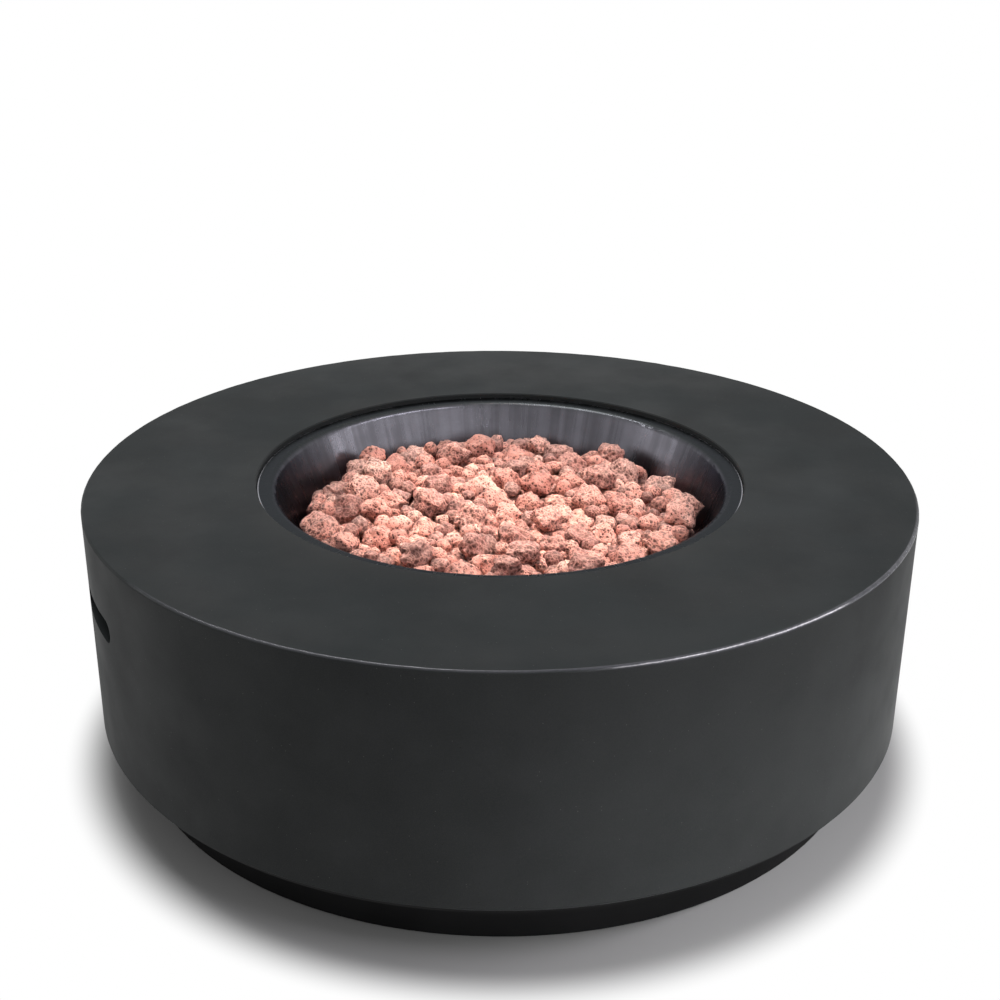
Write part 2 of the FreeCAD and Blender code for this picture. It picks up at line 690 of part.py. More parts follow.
shutter = piece_body("air_shutter")
SHUTTER_INSIDE = "(mixer_diameter + running_clearance * 2)"
SHUTTER_OUTSIDE = f"({SHUTTER_INSIDE} + shutter_wall * 2)"
extrude(shutter, discs(shutter, [("0", "0", SHUTTER_INSIDE), ("0", "0", SHUTTER_OUTSIDE)],
                       offset=f"{COLLAR_TOP} + moving_gap"), "shutter_height")
pocket(shutter, rectangle(
    shutter, "-window_width / 2", "window_width / 2", WINDOW_BOTTOM, f"{WINDOW_BOTTOM} + window_height",
    role="YZ_Plane"), f"{SHUTTER_OUTSIDE} * 2", symmetric=True)
pocket(shutter, discs(shutter, [("0", f"{WINDOW_BOTTOM} + window_height / 2", "4 + thread_clearance * 2")],
                      role="XZ_Plane"), SHUTTER_OUTSIDE)

thumb_screw = piece_body("shutter_screw")
SCREW_LEVEL = f"({WINDOW_BOTTOM} + window_height / 2)"
extrude(thumb_screw, discs(thumb_screw, [("0", SCREW_LEVEL, "4")], role="XZ_Plane",
                           offset=f"-({SHUTTER_INSIDE} / 2 + running_clearance)"), "shutter_wall + 4", back=True)
extrude(thumb_screw, discs(thumb_screw, [("0", SCREW_LEVEL, "9")], role="XZ_Plane",
                           offset=f"-({SHUTTER_OUTSIDE} / 2)"), "5", back=True)

orifice = piece_body("gas_orifice")
extrude(orifice, hexagon(orifice, "spud_flats", offset=f"{MIXER_BOTTOM} - spud_hex_height"), "spud_hex_height")
extrude(orifice, discs(orifice, [("0", "0", "spud_diameter")], offset=MIXER_BOTTOM), "mixer_neck_height - 1")
extrude(orifice, discs(orifice, [("0", "0", "flare_diameter")], offset=FLARE_BOTTOM), "flare_length")
pocket(orifice, discs(orifice, [("0", "0", "gas_bore")], offset=FLARE_BOTTOM), "flare_length", back=True)
pocket(orifice, discs(orifice, [("0", "0", "2")], offset=FLARE_BOTTOM), "mixer_height", back=True)

# Control panel: flat stainless plate screwed to the pad from inside
panel = piece_body("control_panel")
extrude(panel, rectangle(
    panel, "-panel_width / 2", "panel_width / 2",
    "panel_height - panel_depth / 2", "panel_height + panel_depth / 2",
    role="XZ_Plane", offset=f"-{PANEL_Y}"), "panel_sheet")


def corner_edge(edge):
    return isinstance(edge.Curve, Part.Line) and abs(edge.Curve.Direction.y) > 0.999


round_edges(panel, "panel_corner", corner_edge)
panel_holes = [(x, z, "panel_screw_diameter + hole_clearance") for x, z in screw_places]
panel_holes.append(("-valve_offset", "panel_height", "neck_diameter + thread_clearance * 2"))
panel_holes.append(("igniter_offset", "panel_height", "igniter_thread + thread_clearance * 2"))
pocket(panel, discs(panel, panel_holes, role="XZ_Plane", offset=f"-{PANEL_Y}"), "panel_sheet",
       back=True)

panel_screws = piece_body("panel_screws")
extrude(panel_screws, discs(panel_screws, [(x, z, "panel_screw_diameter") for x, z in screw_places],
                            role="XZ_Plane", offset=f"-({PANEL_Y} - panel_sheet)"),
        "panel_sheet + panel_screw_length - 1", back=True)
extrude(panel_screws, discs(panel_screws, [(x, z, "panel_screw_diameter * 1.9") for x, z in screw_places],
                            role="XZ_Plane", offset=f"-({PANEL_Y} - panel_sheet)"),
        "panel_screw_diameter / 2")

# Pieces on the panel have their own Z axis along +Y, from the panel's outer face
OUTWARDS = Rotation(Vector(1, 0, 0), -90)


def panel_piece(label, x):
    return piece_body(label, x, PANEL_Y, "panel_height", OUTWARDS)


VALVE_BACK = "(valve_stand + valve_length)"
VALVE_MIDDLE = "(valve_stand + valve_length / 2)"
PLUG_DEPTH = "(valve_length - 10)"
valve = panel_piece("gas_valve", "-valve_offset")
extrude(valve, rectangle(
    valve, "-valve_width / 2", "valve_width / 2", "-valve_height / 2", "valve_height / 2",
    offset=f"-{VALVE_BACK}"), "valve_length")
round_edges(valve, "4", upright)
extrude(valve, discs(valve, [("0", "0", "neck_diameter")], offset="-valve_stand"), "valve_stand + neck_proud")
extrude(valve, discs(valve, [("0", f"-{VALVE_MIDDLE}", "flare_diameter")], role="XZ_Plane",
                     offset="-valve_height / 2"), "flare_length + 2", back=True)
extrude(valve, discs(valve, [("0", f"-{VALVE_MIDDLE}", "flare_diameter")], role="YZ_Plane",
                     offset="-valve_width / 2"), "flare_length + 2", back=True)
extrude(valve, discs(valve, [("0", "0", "10")], offset=f"-{VALVE_BACK}"), "8", back=True)
pocket(valve, discs(valve, [("0", "0", "stem_diameter + running_clearance * 2")], offset="neck_proud"),
       "neck_proud + valve_stand + 6")
pocket(valve, discs(valve, [("0", "0", "plug_diameter")], offset="-(valve_stand + 5)"), PLUG_DEPTH)

plug = panel_piece("valve_plug", "-valve_offset")
PLUG_TOP = "(valve_stand + 5 + moving_gap)"
STEM_INNER = "(valve_stand + 5 + 12)"
extrude(plug, discs(plug, [("0", "0", "plug_diameter - running_clearance * 2")],
                    offset=f"-(valve_stand + 5 + {PLUG_DEPTH} - moving_gap)"),
        f"{PLUG_DEPTH} - moving_gap * 2")
pocket(plug, discs(plug, [("0", "0", "stem_diameter + running_clearance * 2")], offset=f"-{PLUG_TOP}"),
       "12 + knob_travel + moving_gap")

stem = panel_piece("valve_stem", "-valve_offset")
KNOB_BOTTOM = "knob_gap"
KNOB_TOP = "(knob_gap + knob_height)"
KNOB_CAVITY = "(valve_nut_height + neck_proud - 1)"
STEM_TOP = f"({KNOB_TOP} - 5)"
extrude(stem, discs(stem, [("0", "0", "stem_diameter")], offset=f"-{STEM_INNER}"), f"{STEM_INNER} + {STEM_TOP}")
pocket(stem, rectangle(stem, "stem_diameter / 4", "stem_diameter", "-stem_diameter", "stem_diameter",
                       offset=STEM_TOP), "8")

valve_nut = panel_piece("valve_nut", "-valve_offset")
extrude(valve_nut, hexagon(valve_nut, "valve_nut_flats"), "valve_nut_height")
pocket(valve_nut, discs(valve_nut, [("0", "0", "neck_diameter + thread_clearance * 2")],
                        offset="valve_nut_height"), "valve_nut_height")

knob = panel_piece("control_knob", "-valve_offset")
CAVITY_RADIUS = "(valve_nut_flats / 2 / cos(30) + moving_gap * 2)"
revolve(knob, polygon(knob, (
    ("0", KNOB_TOP),
    ("knob_diameter / 2 - 7", KNOB_TOP),
    ("knob_diameter / 2 - 5", f"{KNOB_TOP} - 2"),
    ("knob_diameter / 2 - 3", f"{KNOB_BOTTOM} + 5"),
    ("knob_diameter / 2", f"{KNOB_BOTTOM} + 3"),
    ("knob_diameter / 2", KNOB_BOTTOM),
    (CAVITY_RADIUS, KNOB_BOTTOM),
    (CAVITY_RADIUS, f"{KNOB_BOTTOM} + {KNOB_CAVITY}"),
    ("0", f"{KNOB_BOTTOM} + {KNOB_CAVITY}"),
)))
pocket(knob, discs(knob, [("0", "0", "stem_diameter + running_clearance")],
                   offset=f"{KNOB_BOTTOM} + {KNOB_CAVITY}"), f"{STEM_TOP} - {KNOB_BOTTOM} - {KNOB_CAVITY} + 0.1",
       back=True)
flute = pocket(knob, discs(knob, [("knob_diameter / 2 - 2", "0", "flute_diameter")], offset=KNOB_TOP),
               "knob_height - 5")
polar(knob, [flute], "knob_flutes")

# Push igniter: threaded body, nut behind the panel and a sprung button
igniter = panel_piece("igniter_body", "igniter_offset")
IGNITER_BACK = "48"
revolve(igniter, polygon(igniter, (
    ("0", f"-{IGNITER_BACK}"),
    ("igniter_thread / 2 - 2", f"-{IGNITER_BACK}"),
    ("igniter_thread / 2 - 2", "-30"),
    ("igniter_thread / 2", "-30"),
    ("igniter_thread / 2", "0"),
    ("igniter_flange / 2", "0"),
    ("igniter_flange / 2", "2"),
    ("igniter_flange / 2 - 2", "4"),
    ("button_diameter / 2 + running_clearance", "4"),
    ("button_diameter / 2 + running_clearance", "-(10 + button_travel)"),
    ("0", "-(10 + button_travel)"),
)))
extrude(igniter, discs(igniter, [("0", "0", "3")], offset=f"-{IGNITER_BACK}"), "6", back=True)

igniter_nut = panel_piece("igniter_nut", "igniter_offset")
extrude(igniter_nut, hexagon(igniter_nut, "igniter_nut_flats", offset="-(panel_sheet + igniter_nut_height)"),
        "igniter_nut_height")
pocket(igniter_nut, discs(igniter_nut, [("0", "0", "igniter_thread + thread_clearance * 2")],
                          offset="-panel_sheet"), "igniter_nut_height")

button = panel_piece("igniter_button", "igniter_offset")
revolve(button, polygon(button, (
    ("0", "-(10 - moving_gap)"),
    ("button_diameter / 2", "-(10 - moving_gap)"),
    ("button_diameter / 2", "button_travel + 4"),
    ("button_diameter / 2 - 2", "button_travel + 5"),
    ("0", "button_travel + 5"),
)))

# Pilot bracket, spark electrode and flame sensor stand on the bowl floor
PILOT_TOP = f"({BOWL_FLOOR} + pilot_height)"
PILOT_HALF = "(pilot_spacing / 2 + 12)"
bracket = piece_body("pilot_bracket")
extrude(bracket, polygon(bracket, (
    (f"-{PILOT_HALF} - 12", BOWL_FLOOR),
    (f"-{PILOT_HALF}", BOWL_FLOOR),
    (f"-{PILOT_HALF}", f"{PILOT_TOP} - pilot_sheet"),
    (PILOT_HALF, f"{PILOT_TOP} - pilot_sheet"),
    (PILOT_HALF, BOWL_FLOOR),
    (f"{PILOT_HALF} + 12", BOWL_FLOOR),
    (f"{PILOT_HALF} + 12", f"{BOWL_FLOOR} + pilot_sheet"),
    (f"{PILOT_HALF} + pilot_sheet", f"{BOWL_FLOOR} + pilot_sheet"),
    (f"{PILOT_HALF} + pilot_sheet", PILOT_TOP),
    (f"-{PILOT_HALF} - pilot_sheet", PILOT_TOP),
    (f"-{PILOT_HALF} - pilot_sheet", f"{BOWL_FLOOR} + pilot_sheet"),
    (f"-{PILOT_HALF} - 12", f"{BOWL_FLOOR} + pilot_sheet"),
), offset="-(pilot_distance - 8)"), "16", back=True)
pocket(bracket, discs(bracket, [
    ("pilot_spacing / 2", "pilot_distance", "insulator_diameter + thread_clearance * 2"),
    ("-pilot_spacing / 2", "pilot_distance", "sensor_diameter + thread_clearance * 2"),
], offset=PILOT_TOP), "pilot_sheet")

ELECTRODE_FOOT = f"({SHIELD_TOP} + 8)"
insulator = piece_body("electrode_insulator", "pilot_spacing / 2", "pilot_distance")
revolve(insulator, polygon(insulator, (
    ("rod_diameter / 2 + thread_clearance", ELECTRODE_FOOT),
    ("insulator_diameter / 2", ELECTRODE_FOOT),
    ("insulator_diameter / 2", PILOT_TOP),
    ("insulator_diameter / 2 + 2", PILOT_TOP),
    ("insulator_diameter / 2 + 2", f"{PILOT_TOP} + 3"),
    ("insulator_diameter / 2", f"{PILOT_TOP} + 4"),
    ("insulator_diameter / 2 - 1", f"{PILOT_TOP} + flame_rod_reach / 2"),
    ("rod_diameter / 2 + thread_clearance", f"{PILOT_TOP} + flame_rod_reach / 2"),
)))

rod = piece_body("electrode_rod", "pilot_spacing / 2", "pilot_distance")
extrude(rod, discs(rod, [("0", "0", "rod_diameter")], offset=f"{ELECTRODE_FOOT} - 4"),
        f"{PILOT_TOP} + flame_rod_reach - {ELECTRODE_FOOT} + 4")

sensor = piece_body("flame_sensor", "-pilot_spacing / 2", "pilot_distance")
SENSOR_FOOT = f"({BOWL_UNDERSIDE} - 6)"
revolve(sensor, polygon(sensor, (
    ("0", SENSOR_FOOT),
    ("sensor_diameter / 2", SENSOR_FOOT),
    ("sensor_diameter / 2", PILOT_TOP),
    ("sensor_diameter / 2 + 2", PILOT_TOP),
    ("sensor_diameter / 2 + 2", f"{PILOT_TOP} + 4"),
    ("sensor_diameter / 2 - 0.5", f"{PILOT_TOP} + 4"),
    ("sensor_diameter / 2 - 0.5", f"{PILOT_TOP} + flame_rod_reach - 2"),
    ("0", f"{PILOT_TOP} + flame_rod_reach"),
)))

# Gas inlet: a bulkhead fitting in a bracket under the plinth plate, facing the notch
inlet_bracket = piece_body("inlet_bracket")
BRACKET_BACK = f"({PLATE_INSIDE} + 6)"
extrude(inlet_bracket, polygon(inlet_bracket, (
    (BRACKET_BACK, PLATE_BOTTOM),
    (f"{BRACKET_BACK} + 34", PLATE_BOTTOM),
    (f"{BRACKET_BACK} + 34", f"{PLATE_BOTTOM} - inlet_bracket_sheet"),
    (f"{BRACKET_BACK} + inlet_bracket_sheet", f"{PLATE_BOTTOM} - inlet_bracket_sheet"),
    (f"{BRACKET_BACK} + inlet_bracket_sheet", "inlet_height - 14"),
    (BRACKET_BACK, "inlet_height - 14"),
), role="YZ_Plane"), "inlet_bracket_width", symmetric=True)
pocket(inlet_bracket, discs(inlet_bracket, bracket_holes, offset=PLATE_BOTTOM), "inlet_bracket_sheet")
pocket(inlet_bracket, discs(inlet_bracket, [("0", "inlet_height", "inlet_shank + thread_clearance * 2")],
                            role="XZ_Plane", offset=f"-({BRACKET_BACK} + inlet_bracket_sheet)"),
       "inlet_bracket_sheet", back=True)

bracket_bolts = piece_body("bracket_bolts")
small_bolt = "bolt_diameter * 0.75"
places = [(f"{side} * inlet_bracket_width / 4", INLET_Y) for side in (-1, 1)]
extrude(bracket_bolts, discs(bracket_bolts, [(x, y, small_bolt) for x, y in places],
                             offset=f"{PLATE_BOTTOM} - inlet_bracket_sheet"),
        "inlet_bracket_sheet + plate_thickness + 6")
for x, y in places:
    extrude(bracket_bolts, hexagon(bracket_bolts, "stud_nut_flats", x, y,
                                   offset=f"{PLATE_BOTTOM} - inlet_bracket_sheet"), "4", back=True)
    extrude(bracket_bolts, hexagon(bracket_bolts, "stud_nut_flats", x, y, offset=PLATE_TOP), "5")

fitting = piece_body("inlet_fitting", "0", BRACKET_BACK, "inlet_height", OUTWARDS)
extrude(fitting, hexagon(fitting, "hose_nut_flats", offset="-10"), "10")
extrude(fitting, discs(fitting, [("0", "0", "inlet_shank")]), "inlet_bracket_sheet + 8")
extrude(fitting, discs(fitting, [("0", "0", "flare_diameter")], offset="inlet_bracket_sheet + 8"), "flare_length")
extrude(fitting, discs(fitting, [("0", "0", "flare_diameter - 2")], offset="-22"), "12")
pocket(fitting, discs(fitting, [("0", "0", "gas_bore")], offset="-22"), "100", back=True)

inlet_nut = piece_body("inlet_nut", "0", f"{BRACKET_BACK} + inlet_bracket_sheet", "inlet_height", OUTWARDS)
extrude(inlet_nut, hexagon(inlet_nut, "inlet_nut_flats"), "6")
pocket(inlet_nut, discs(inlet_nut, [("0", "0", "inlet_shank + thread_clearance * 2")], offset="6"), "6")

# Tubes, hose and leads of the gas train
VALVE_X = "-valve_offset"
VALVE_Y = f"({PANEL_Y} - {VALVE_MIDDLE})"
OUTLET_END = "(panel_height - valve_height / 2 - flare_length - 2)"
bent_tube("burner_hose", (
    (VALVE_X, VALVE_Y, f"{OUTLET_END} - 1"),
    (VALVE_X, VALVE_Y, f"{PLATE_TOP} + 13"),
    ("0", "0", f"{PLATE_TOP} + 13"),
    ("0", "0", f"{FLARE_BOTTOM} - 1"),
), ("55", "22"), "hose_diameter")

hose_nuts = piece_body("hose_nuts")
for x, y, low in (("0", "0", f"{FLARE_BOTTOM} + flare_length - 2 - hose_nut_height"),
                  (VALVE_X, VALVE_Y, f"{OUTLET_END} + flare_length - hose_nut_height")):
    extrude(hose_nuts, hexagon(hose_nuts, "hose_nut_flats", x, y, offset=low), "hose_nut_height")
for x, y, low, end in (
        ("0", "0", f"{FLARE_BOTTOM} + flare_length - 2 - hose_nut_height", FLARE_BOTTOM),
        (VALVE_X, VALVE_Y, f"{OUTLET_END} + flare_length - hose_nut_height", OUTLET_END)):
    pocket(hose_nuts, discs(hose_nuts, [(x, y, "flare_diameter + thread_clearance * 2")], offset=end),
           "flare_length", back=True)
    pocket(hose_nuts, discs(hose_nuts, [(x, y, "hose_diameter + thread_clearance * 2")], offset=low),
           "hose_nut_height", back=True)

supply_x = "(-valve_offset - valve_width / 2 - flare_length - 2)"
bent_tube("supply_tube", (
    ("0", f"{BRACKET_BACK} - 22", "inlet_height"),
    ("0", f"{BRACKET_BACK} - 66", "inlet_height"),
    (f"{supply_x} - 44", f"{BRACKET_BACK} - 66", f"{PLATE_TOP} + 12"),
    (f"{supply_x} - 44", VALVE_Y, "panel_height"),
    (supply_x, VALVE_Y, "panel_height"),
), ("17", "40", "17"), "supply_diameter")

bent_tube("ignition_wire", (
    ("igniter_offset", f"{PANEL_Y} - {IGNITER_BACK} - 6", "panel_height"),
    ("igniter_offset", f"{PANEL_Y} - {IGNITER_BACK} - 40", "panel_height"),
    ("igniter_offset * 0.6", "pilot_distance + 150", f"{SHIELD_TOP} - 38"),
    ("pilot_spacing / 2", "pilot_distance", f"{SHIELD_TOP} - 46"),
    ("pilot_spacing / 2", "pilot_distance", f"{ELECTRODE_FOOT} - 4"),
), ("30", "120", "24"), "wire_diameter")

bent_tube("sensor_lead", (
    ("-valve_offset", f"{PANEL_Y} - {VALVE_BACK} - 8", "panel_height"),
    ("-valve_offset", f"{PANEL_Y} - {VALVE_BACK} - 40", "panel_height"),
    ("-valve_offset * 0.6", "pilot_distance + 150", f"{SHIELD_TOP} - 42"),
    ("-pilot_spacing / 2", "pilot_distance", f"{SHIELD_TOP} - 50"),
    ("-pilot_spacing / 2", "pilot_distance", SENSOR_FOOT),
), ("30", "120", "24"), "capillary_diameter")

# Lava rock: faceted lumps, each let down until it rests on the bowl, the burner or other rocks
GOLDEN_ANGLE = math.radians(137.508)


class Lump:
    """A convex lump as corner points and outward triangles, with its upper and lower skins."""

    def __init__(self, points, triangles):
        self.points = points
        self.triangles = triangles
        self.top = self.skin(1)
        self.bottom = self.skin(-1)
        self.x_range = (min(p.x for p in points), max(p.x for p in points))
        self.y_range = (min(p.y for p in points), max(p.y for p in points))

    def skin(self, side):
        faces = []
        corners = set()
        edges = set()
        for triangle in self.triangles:
            a, b, c = (self.points[index] for index in triangle)
            normal = (b - a).cross(c - a)
            if normal.z * side <= 1e-6:
                continue
            slope_x = -normal.x / normal.z
            slope_y = -normal.y / normal.z
            faces.append((a, b, c, slope_x, slope_y, a.z - slope_x * a.x - slope_y * a.y))
            corners.update(triangle)
            for first, second in itertools.combinations(sorted(triangle), 2):
                edges.add((first, second))
        return faces, [self.points[index] for index in corners], [
            (self.points[first], self.points[second]) for first, second in edges]

    def raised(self, rise):
        return Lump([point + Vector(0, 0, rise) for point in self.points], self.triangles)


def turn_of(a, b, x, y):
    return (b.x - a.x) * (y - a.y) - (b.y - a.y) * (x - a.x)


def height_over(faces, point):
    """Height of a skin above or below a point, or None outside its shadow."""
    for a, b, c, slope_x, slope_y, level in faces:
        first = turn_of(a, b, point.x, point.y)
        second = turn_of(b, c, point.x, point.y)
        third = turn_of(c, a, point.x, point.y)
        if (first >= 0 and second >= 0 and third >= 0) or (first <= 0 and second <= 0 and third <= 0):
            return slope_x * point.x + slope_y * point.y + level
    return None


def apart(first, second):
    return first[1] < second[0] or second[1] < first[0]


def fall(upper, lower):
    """Least height between the underside of one lump and the top of another."""
    if apart(upper.x_range, lower.x_range) or apart(upper.y_range, lower.y_range):
        return math.inf
    under_faces, under_points, under_edges = upper.bottom
    over_faces, over_points, over_edges = lower.top
    gaps = []
    for point in under_points:
        height = height_over(over_faces, point)
        if height is not None:
            gaps.append(point.z - height)
    for point in over_points:
        height = height_over(under_faces, point)
        if height is not None:
            gaps.append(height - point.z)
    for a, b in under_edges:
        for c, d in over_edges:
            start = turn_of(a, b, c.x, c.y)
            end = turn_of(a, b, d.x, d.y)
            if start * end >= 0:
                continue
            left = turn_of(c, d, a.x, a.y)
            right = turn_of(c, d, b.x, b.y)
            if left * right >= 0:
                continue
            along_over = start / (start - end)
            along_under = left / (left - right)
            gaps.append(a.z + (b.z - a.z) * along_under - c.z - (d.z - c.z) * along_over)
    return min(gaps, default=math.inf)


def hull(points):
    """Outward triangles round points that lie on a convex lump."""
    triangles = []
    for a, b, c in itertools.combinations(range(len(points)), 3):
        normal = (points[b] - points[a]).cross(points[c] - points[a])
        sides = [normal.dot(points[d] - points[a]) for d in range(len(points)) if d not in (a, b, c)]
        if max(sides) < 0:
            triangles.append((a, b, c))
        elif min(sides) > 0:
            triangles.append((a, c, b))
    return triangles


def rock(chance, size, x, y, z):
    """One lump: ten points spread over a squashed and turned ball."""
    halves = [size * chance.uniform(low, low + 0.1) for low in (0.48, 0.43, 0.36)]
    turn = Rotation(chance.uniform(0, 360), chance.uniform(-35, 35), chance.uniform(-35, 35))
    points = []
    for index in range(10):
        level = 1 - (index + 0.5) / 5 + chance.uniform(-0.06, 0.06)
        angle = index * GOLDEN_ANGLE + chance.uniform(-0.25, 0.25)
        around = math.sqrt(max(0, 1 - level * level))
        ball = Vector(halves[0] * around * math.cos(angle), halves[1] * around * math.sin(angle), halves[2] * level)
        points.append(turn.multVec(ball) + Vector(x, y, z))
    return Lump(points, hull(points))


BAR_SIDES = 12


def bar(start, end, radius):
    """A twelve-sided bar just round a level tube."""
    along = (end - start).normalize()
    across = Vector(-along.y, along.x, 0)
    reach = radius / math.cos(math.pi / BAR_SIDES)
    points = []
    for centre in (start, end):
        for step in range(BAR_SIDES):
            angle = (step + 0.5) * 2 * math.pi / BAR_SIDES
            points.append(centre + across * (reach * math.cos(angle)) + Vector(0, 0, reach * math.sin(angle)))
    middle = (start + end) * 0.5
    outward = []
    for step in range(BAR_SIDES):
        after = (step + 1) % BAR_SIDES
        for a, b, c in ((step, after, step + BAR_SIDES), (after, after + BAR_SIDES, step + BAR_SIDES)):
            normal = (points[b] - points[a]).cross(points[c] - points[a])
            outward.append((a, b, c) if normal.dot(points[a] - middle) > 0 else (a, c, b))
    return Lump(points, outward)


def flat_top(corners, height):
    """The flat top of an upright piece."""
    points = [Vector(x, y, height) for x, y in corners]
    return Lump(points, [(0, step, step + 1) for step in range(1, len(points) - 1)])


def post(x, y, diameter, height):
    reach = number(diameter) / 2 / math.cos(math.pi / BAR_SIDES)
    turns = [(step + 0.5) * 2 * math.pi / BAR_SIDES for step in range(BAR_SIDES)]
    return flat_top([(x + reach * math.cos(turn), y + reach * math.sin(turn)) for turn in turns], number(height))


def block(y, half_x, half_y, height):
    corners = [(-half_x, y - half_y), (half_x, y - half_y), (half_x, y + half_y), (-half_x, y + half_y)]
    return flat_top(corners, number(height))


floor_level = number(BOWL_FLOOR)
floor_edge = number("bowl_floor_diameter / 2")
bevel = number("bowl_floor_bevel")
slope = number(BOWL_SLOPE)


def bowl_height(radius):
    """Height of the inside of the bowl at a distance from its axis."""
    on_wall = (radius - floor_edge) / slope
    on_bevel = (radius - floor_edge + bevel) / (1 + slope)
    return floor_level + max(0, on_bevel, on_wall)


axis_level = number(RING_AXIS)
tube_radius = number("tube_diameter / 2")
corner_reach = number("ring_across / 2") / OCTAGON
obstacles = []
for step in range(8):
    ends = [Vector(corner_reach * math.cos(math.radians(45 * turn + 22.5)),
                   corner_reach * math.sin(math.radians(45 * turn + 22.5)), axis_level) for turn in (step, step + 1)]
    obstacles.append(bar(ends[0], ends[1], tube_radius))
half_across = number("ring_across / 2")
obstacles.append(bar(Vector(-half_across, 0, axis_level), Vector(half_across, 0, axis_level), tube_radius))
obstacles.append(post(0, 0, "hub_diameter", f"{HUB_BOTTOM} + hub_height"))
pilot_y = number("pilot_distance")
pilot_half = number(PILOT_HALF)
obstacles.append(block(pilot_y, pilot_half + 12, 8, f"{BOWL_FLOOR} + pilot_sheet"))
obstacles.append(block(pilot_y, pilot_half + number("pilot_sheet"), 8, PILOT_TOP))
rod_x = number("pilot_spacing / 2")
obstacles.append(post(rod_x, pilot_y, "insulator_diameter + 4", f"{PILOT_TOP} + 4"))
obstacles.append(post(rod_x, pilot_y, "insulator_diameter - 1", f"{PILOT_TOP} + flame_rod_reach / 2"))
obstacles.append(post(rod_x, pilot_y, "rod_diameter", f"{PILOT_TOP} + flame_rod_reach"))
obstacles.append(post(-rod_x, pilot_y, "sensor_diameter + 4", f"{PILOT_TOP} + 4"))
obstacles.append(post(-rod_x, pilot_y, "sensor_diameter - 1", f"{PILOT_TOP} + flame_rod_reach - 2"))
obstacles.append(post(-rod_x, pilot_y, "0.6", f"{PILOT_TOP} + flame_rod_reach"))

chance = random.Random(11)
resting = list(obstacles)
drop_from = number(TABLE_TOP)
gap = number("rock_gap")
highest = number(f"{TABLE_TOP} - rock_clearance")


def settle(lump):
    """How far a lump can be let down before something carries it."""
    room = min(p.z - bowl_height(math.hypot(p.x, p.y) + gap) for p in lump.points)
    return min([room] + [fall(lump, lower) for lower in resting]) - gap


def fill(label, count, tries):
    """Lay rocks one by one, each where its top comes lowest out of a few places."""
    solids = []
    for index in range(count):
        size = number("rock_size") * chance.uniform(0.76, 1.16)
        best = None
        attempts = 0
        while attempts < tries or (best[0] > highest and attempts < tries * 6):
            attempts += 1
            distance = number("rock_spread") * math.sqrt(chance.random())
            angle = chance.uniform(0, 2 * math.pi)
            lump = rock(chance, size, distance * math.cos(angle), distance * math.sin(angle), drop_from)
            drop = settle(lump)
            top = max(point.z for point in lump.points) - drop
            if best is None or top < best[0]:
                best = (top, lump, drop)
        laid = best[1].raised(-best[2])
        resting.append(laid)
        faces = []
        for a, b, c in laid.triangles:
            faces.append(Part.Face(Part.makePolygon([laid.points[corner] for corner in (a, b, c, a)])))
        solids.append(Part.Solid(Part.Shell(faces)))
    return solid_feature(label, Part.makeCompound(solids))


fill("lava_rocks_lower", LOWER_ROCKS, 9)
fill("lava_rocks_upper", UPPER_ROCKS, 22)

# Check every object, then write one file for each piece
doc.recompute()
faults = [item.Name for item in doc.Objects if {"Invalid", "Error"} & set(item.State)]
if faults:
    raise ValueError(f"failed features: {faults}")
pieces = [item for item in doc.Objects if item.TypeId in ("PartDesign::Body", "Part::Feature")]
for piece in pieces:
    if piece.Shape.isNull() or not piece.Shape.isValid():
        raise ValueError(f"{piece.Label} is not a valid solid")
os.makedirs("parts", exist_ok=True)
for piece in pieces:
    piece.Shape.exportStep(f"parts/{piece.Label}.step")
    print(f"{piece.Label}: {len(piece.Shape.Solids)} solids, {piece.Shape.Volume / 1000:.1f} cm3")
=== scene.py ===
import math
import random

import bmesh
import bpy
from mathutils import Matrix, Vector, noise


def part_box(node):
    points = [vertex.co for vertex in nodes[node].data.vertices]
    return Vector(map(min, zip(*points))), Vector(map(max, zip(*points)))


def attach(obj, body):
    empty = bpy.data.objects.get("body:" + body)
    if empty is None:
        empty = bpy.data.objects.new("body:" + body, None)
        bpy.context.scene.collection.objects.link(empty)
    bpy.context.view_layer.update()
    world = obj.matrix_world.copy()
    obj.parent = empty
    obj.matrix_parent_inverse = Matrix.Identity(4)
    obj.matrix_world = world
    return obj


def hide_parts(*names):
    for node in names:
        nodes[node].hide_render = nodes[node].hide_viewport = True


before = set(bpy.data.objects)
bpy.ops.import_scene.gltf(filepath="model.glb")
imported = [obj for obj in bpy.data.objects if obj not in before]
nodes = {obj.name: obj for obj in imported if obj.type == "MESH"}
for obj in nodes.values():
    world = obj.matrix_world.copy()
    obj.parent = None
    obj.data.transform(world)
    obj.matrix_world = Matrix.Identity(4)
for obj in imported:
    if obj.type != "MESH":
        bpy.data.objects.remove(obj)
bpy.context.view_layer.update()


# Concrete drum. One hollow casting of glass-fibre concrete with charcoal pigment, poured upside
# down in a mould and sealed matt. Its top edge is chamfered and polished to a gloss at the front,
# where the highlight falls: the whole chamfer towards the right, only its upper corner towards the
# left. There its colour is also made paler and bluer, a painted highlight.
drum_low, drum_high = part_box("concrete_body")
bowl_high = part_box("fire_bowl")[1]
panel_low, panel_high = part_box("control_panel")
drum_radius = drum_high.x
wall = 0.022
wall_inside = drum_radius - wall
foot_taper = 0.0011
foot_radius = drum_radius - foot_taper
foot_bevel = 0.003
edge_chamfer = 0.0024
edge_round = 0.0016
edge_fade = 0.0012
bowl_clearance = 0.0015
opening_radius = bowl_high.x + bowl_clearance
opening_bevel = 0.0015
ledge_width = 0.011
ledge_radius = opening_radius - ledge_width
ledge_drop = 0.008
ledge_level = drum_high.z - ledge_drop
deck_thickness = 0.030
deck_underside = drum_high.z - deck_thickness
deck_bevel = 0.020
slot_turn = math.radians(-65.7)
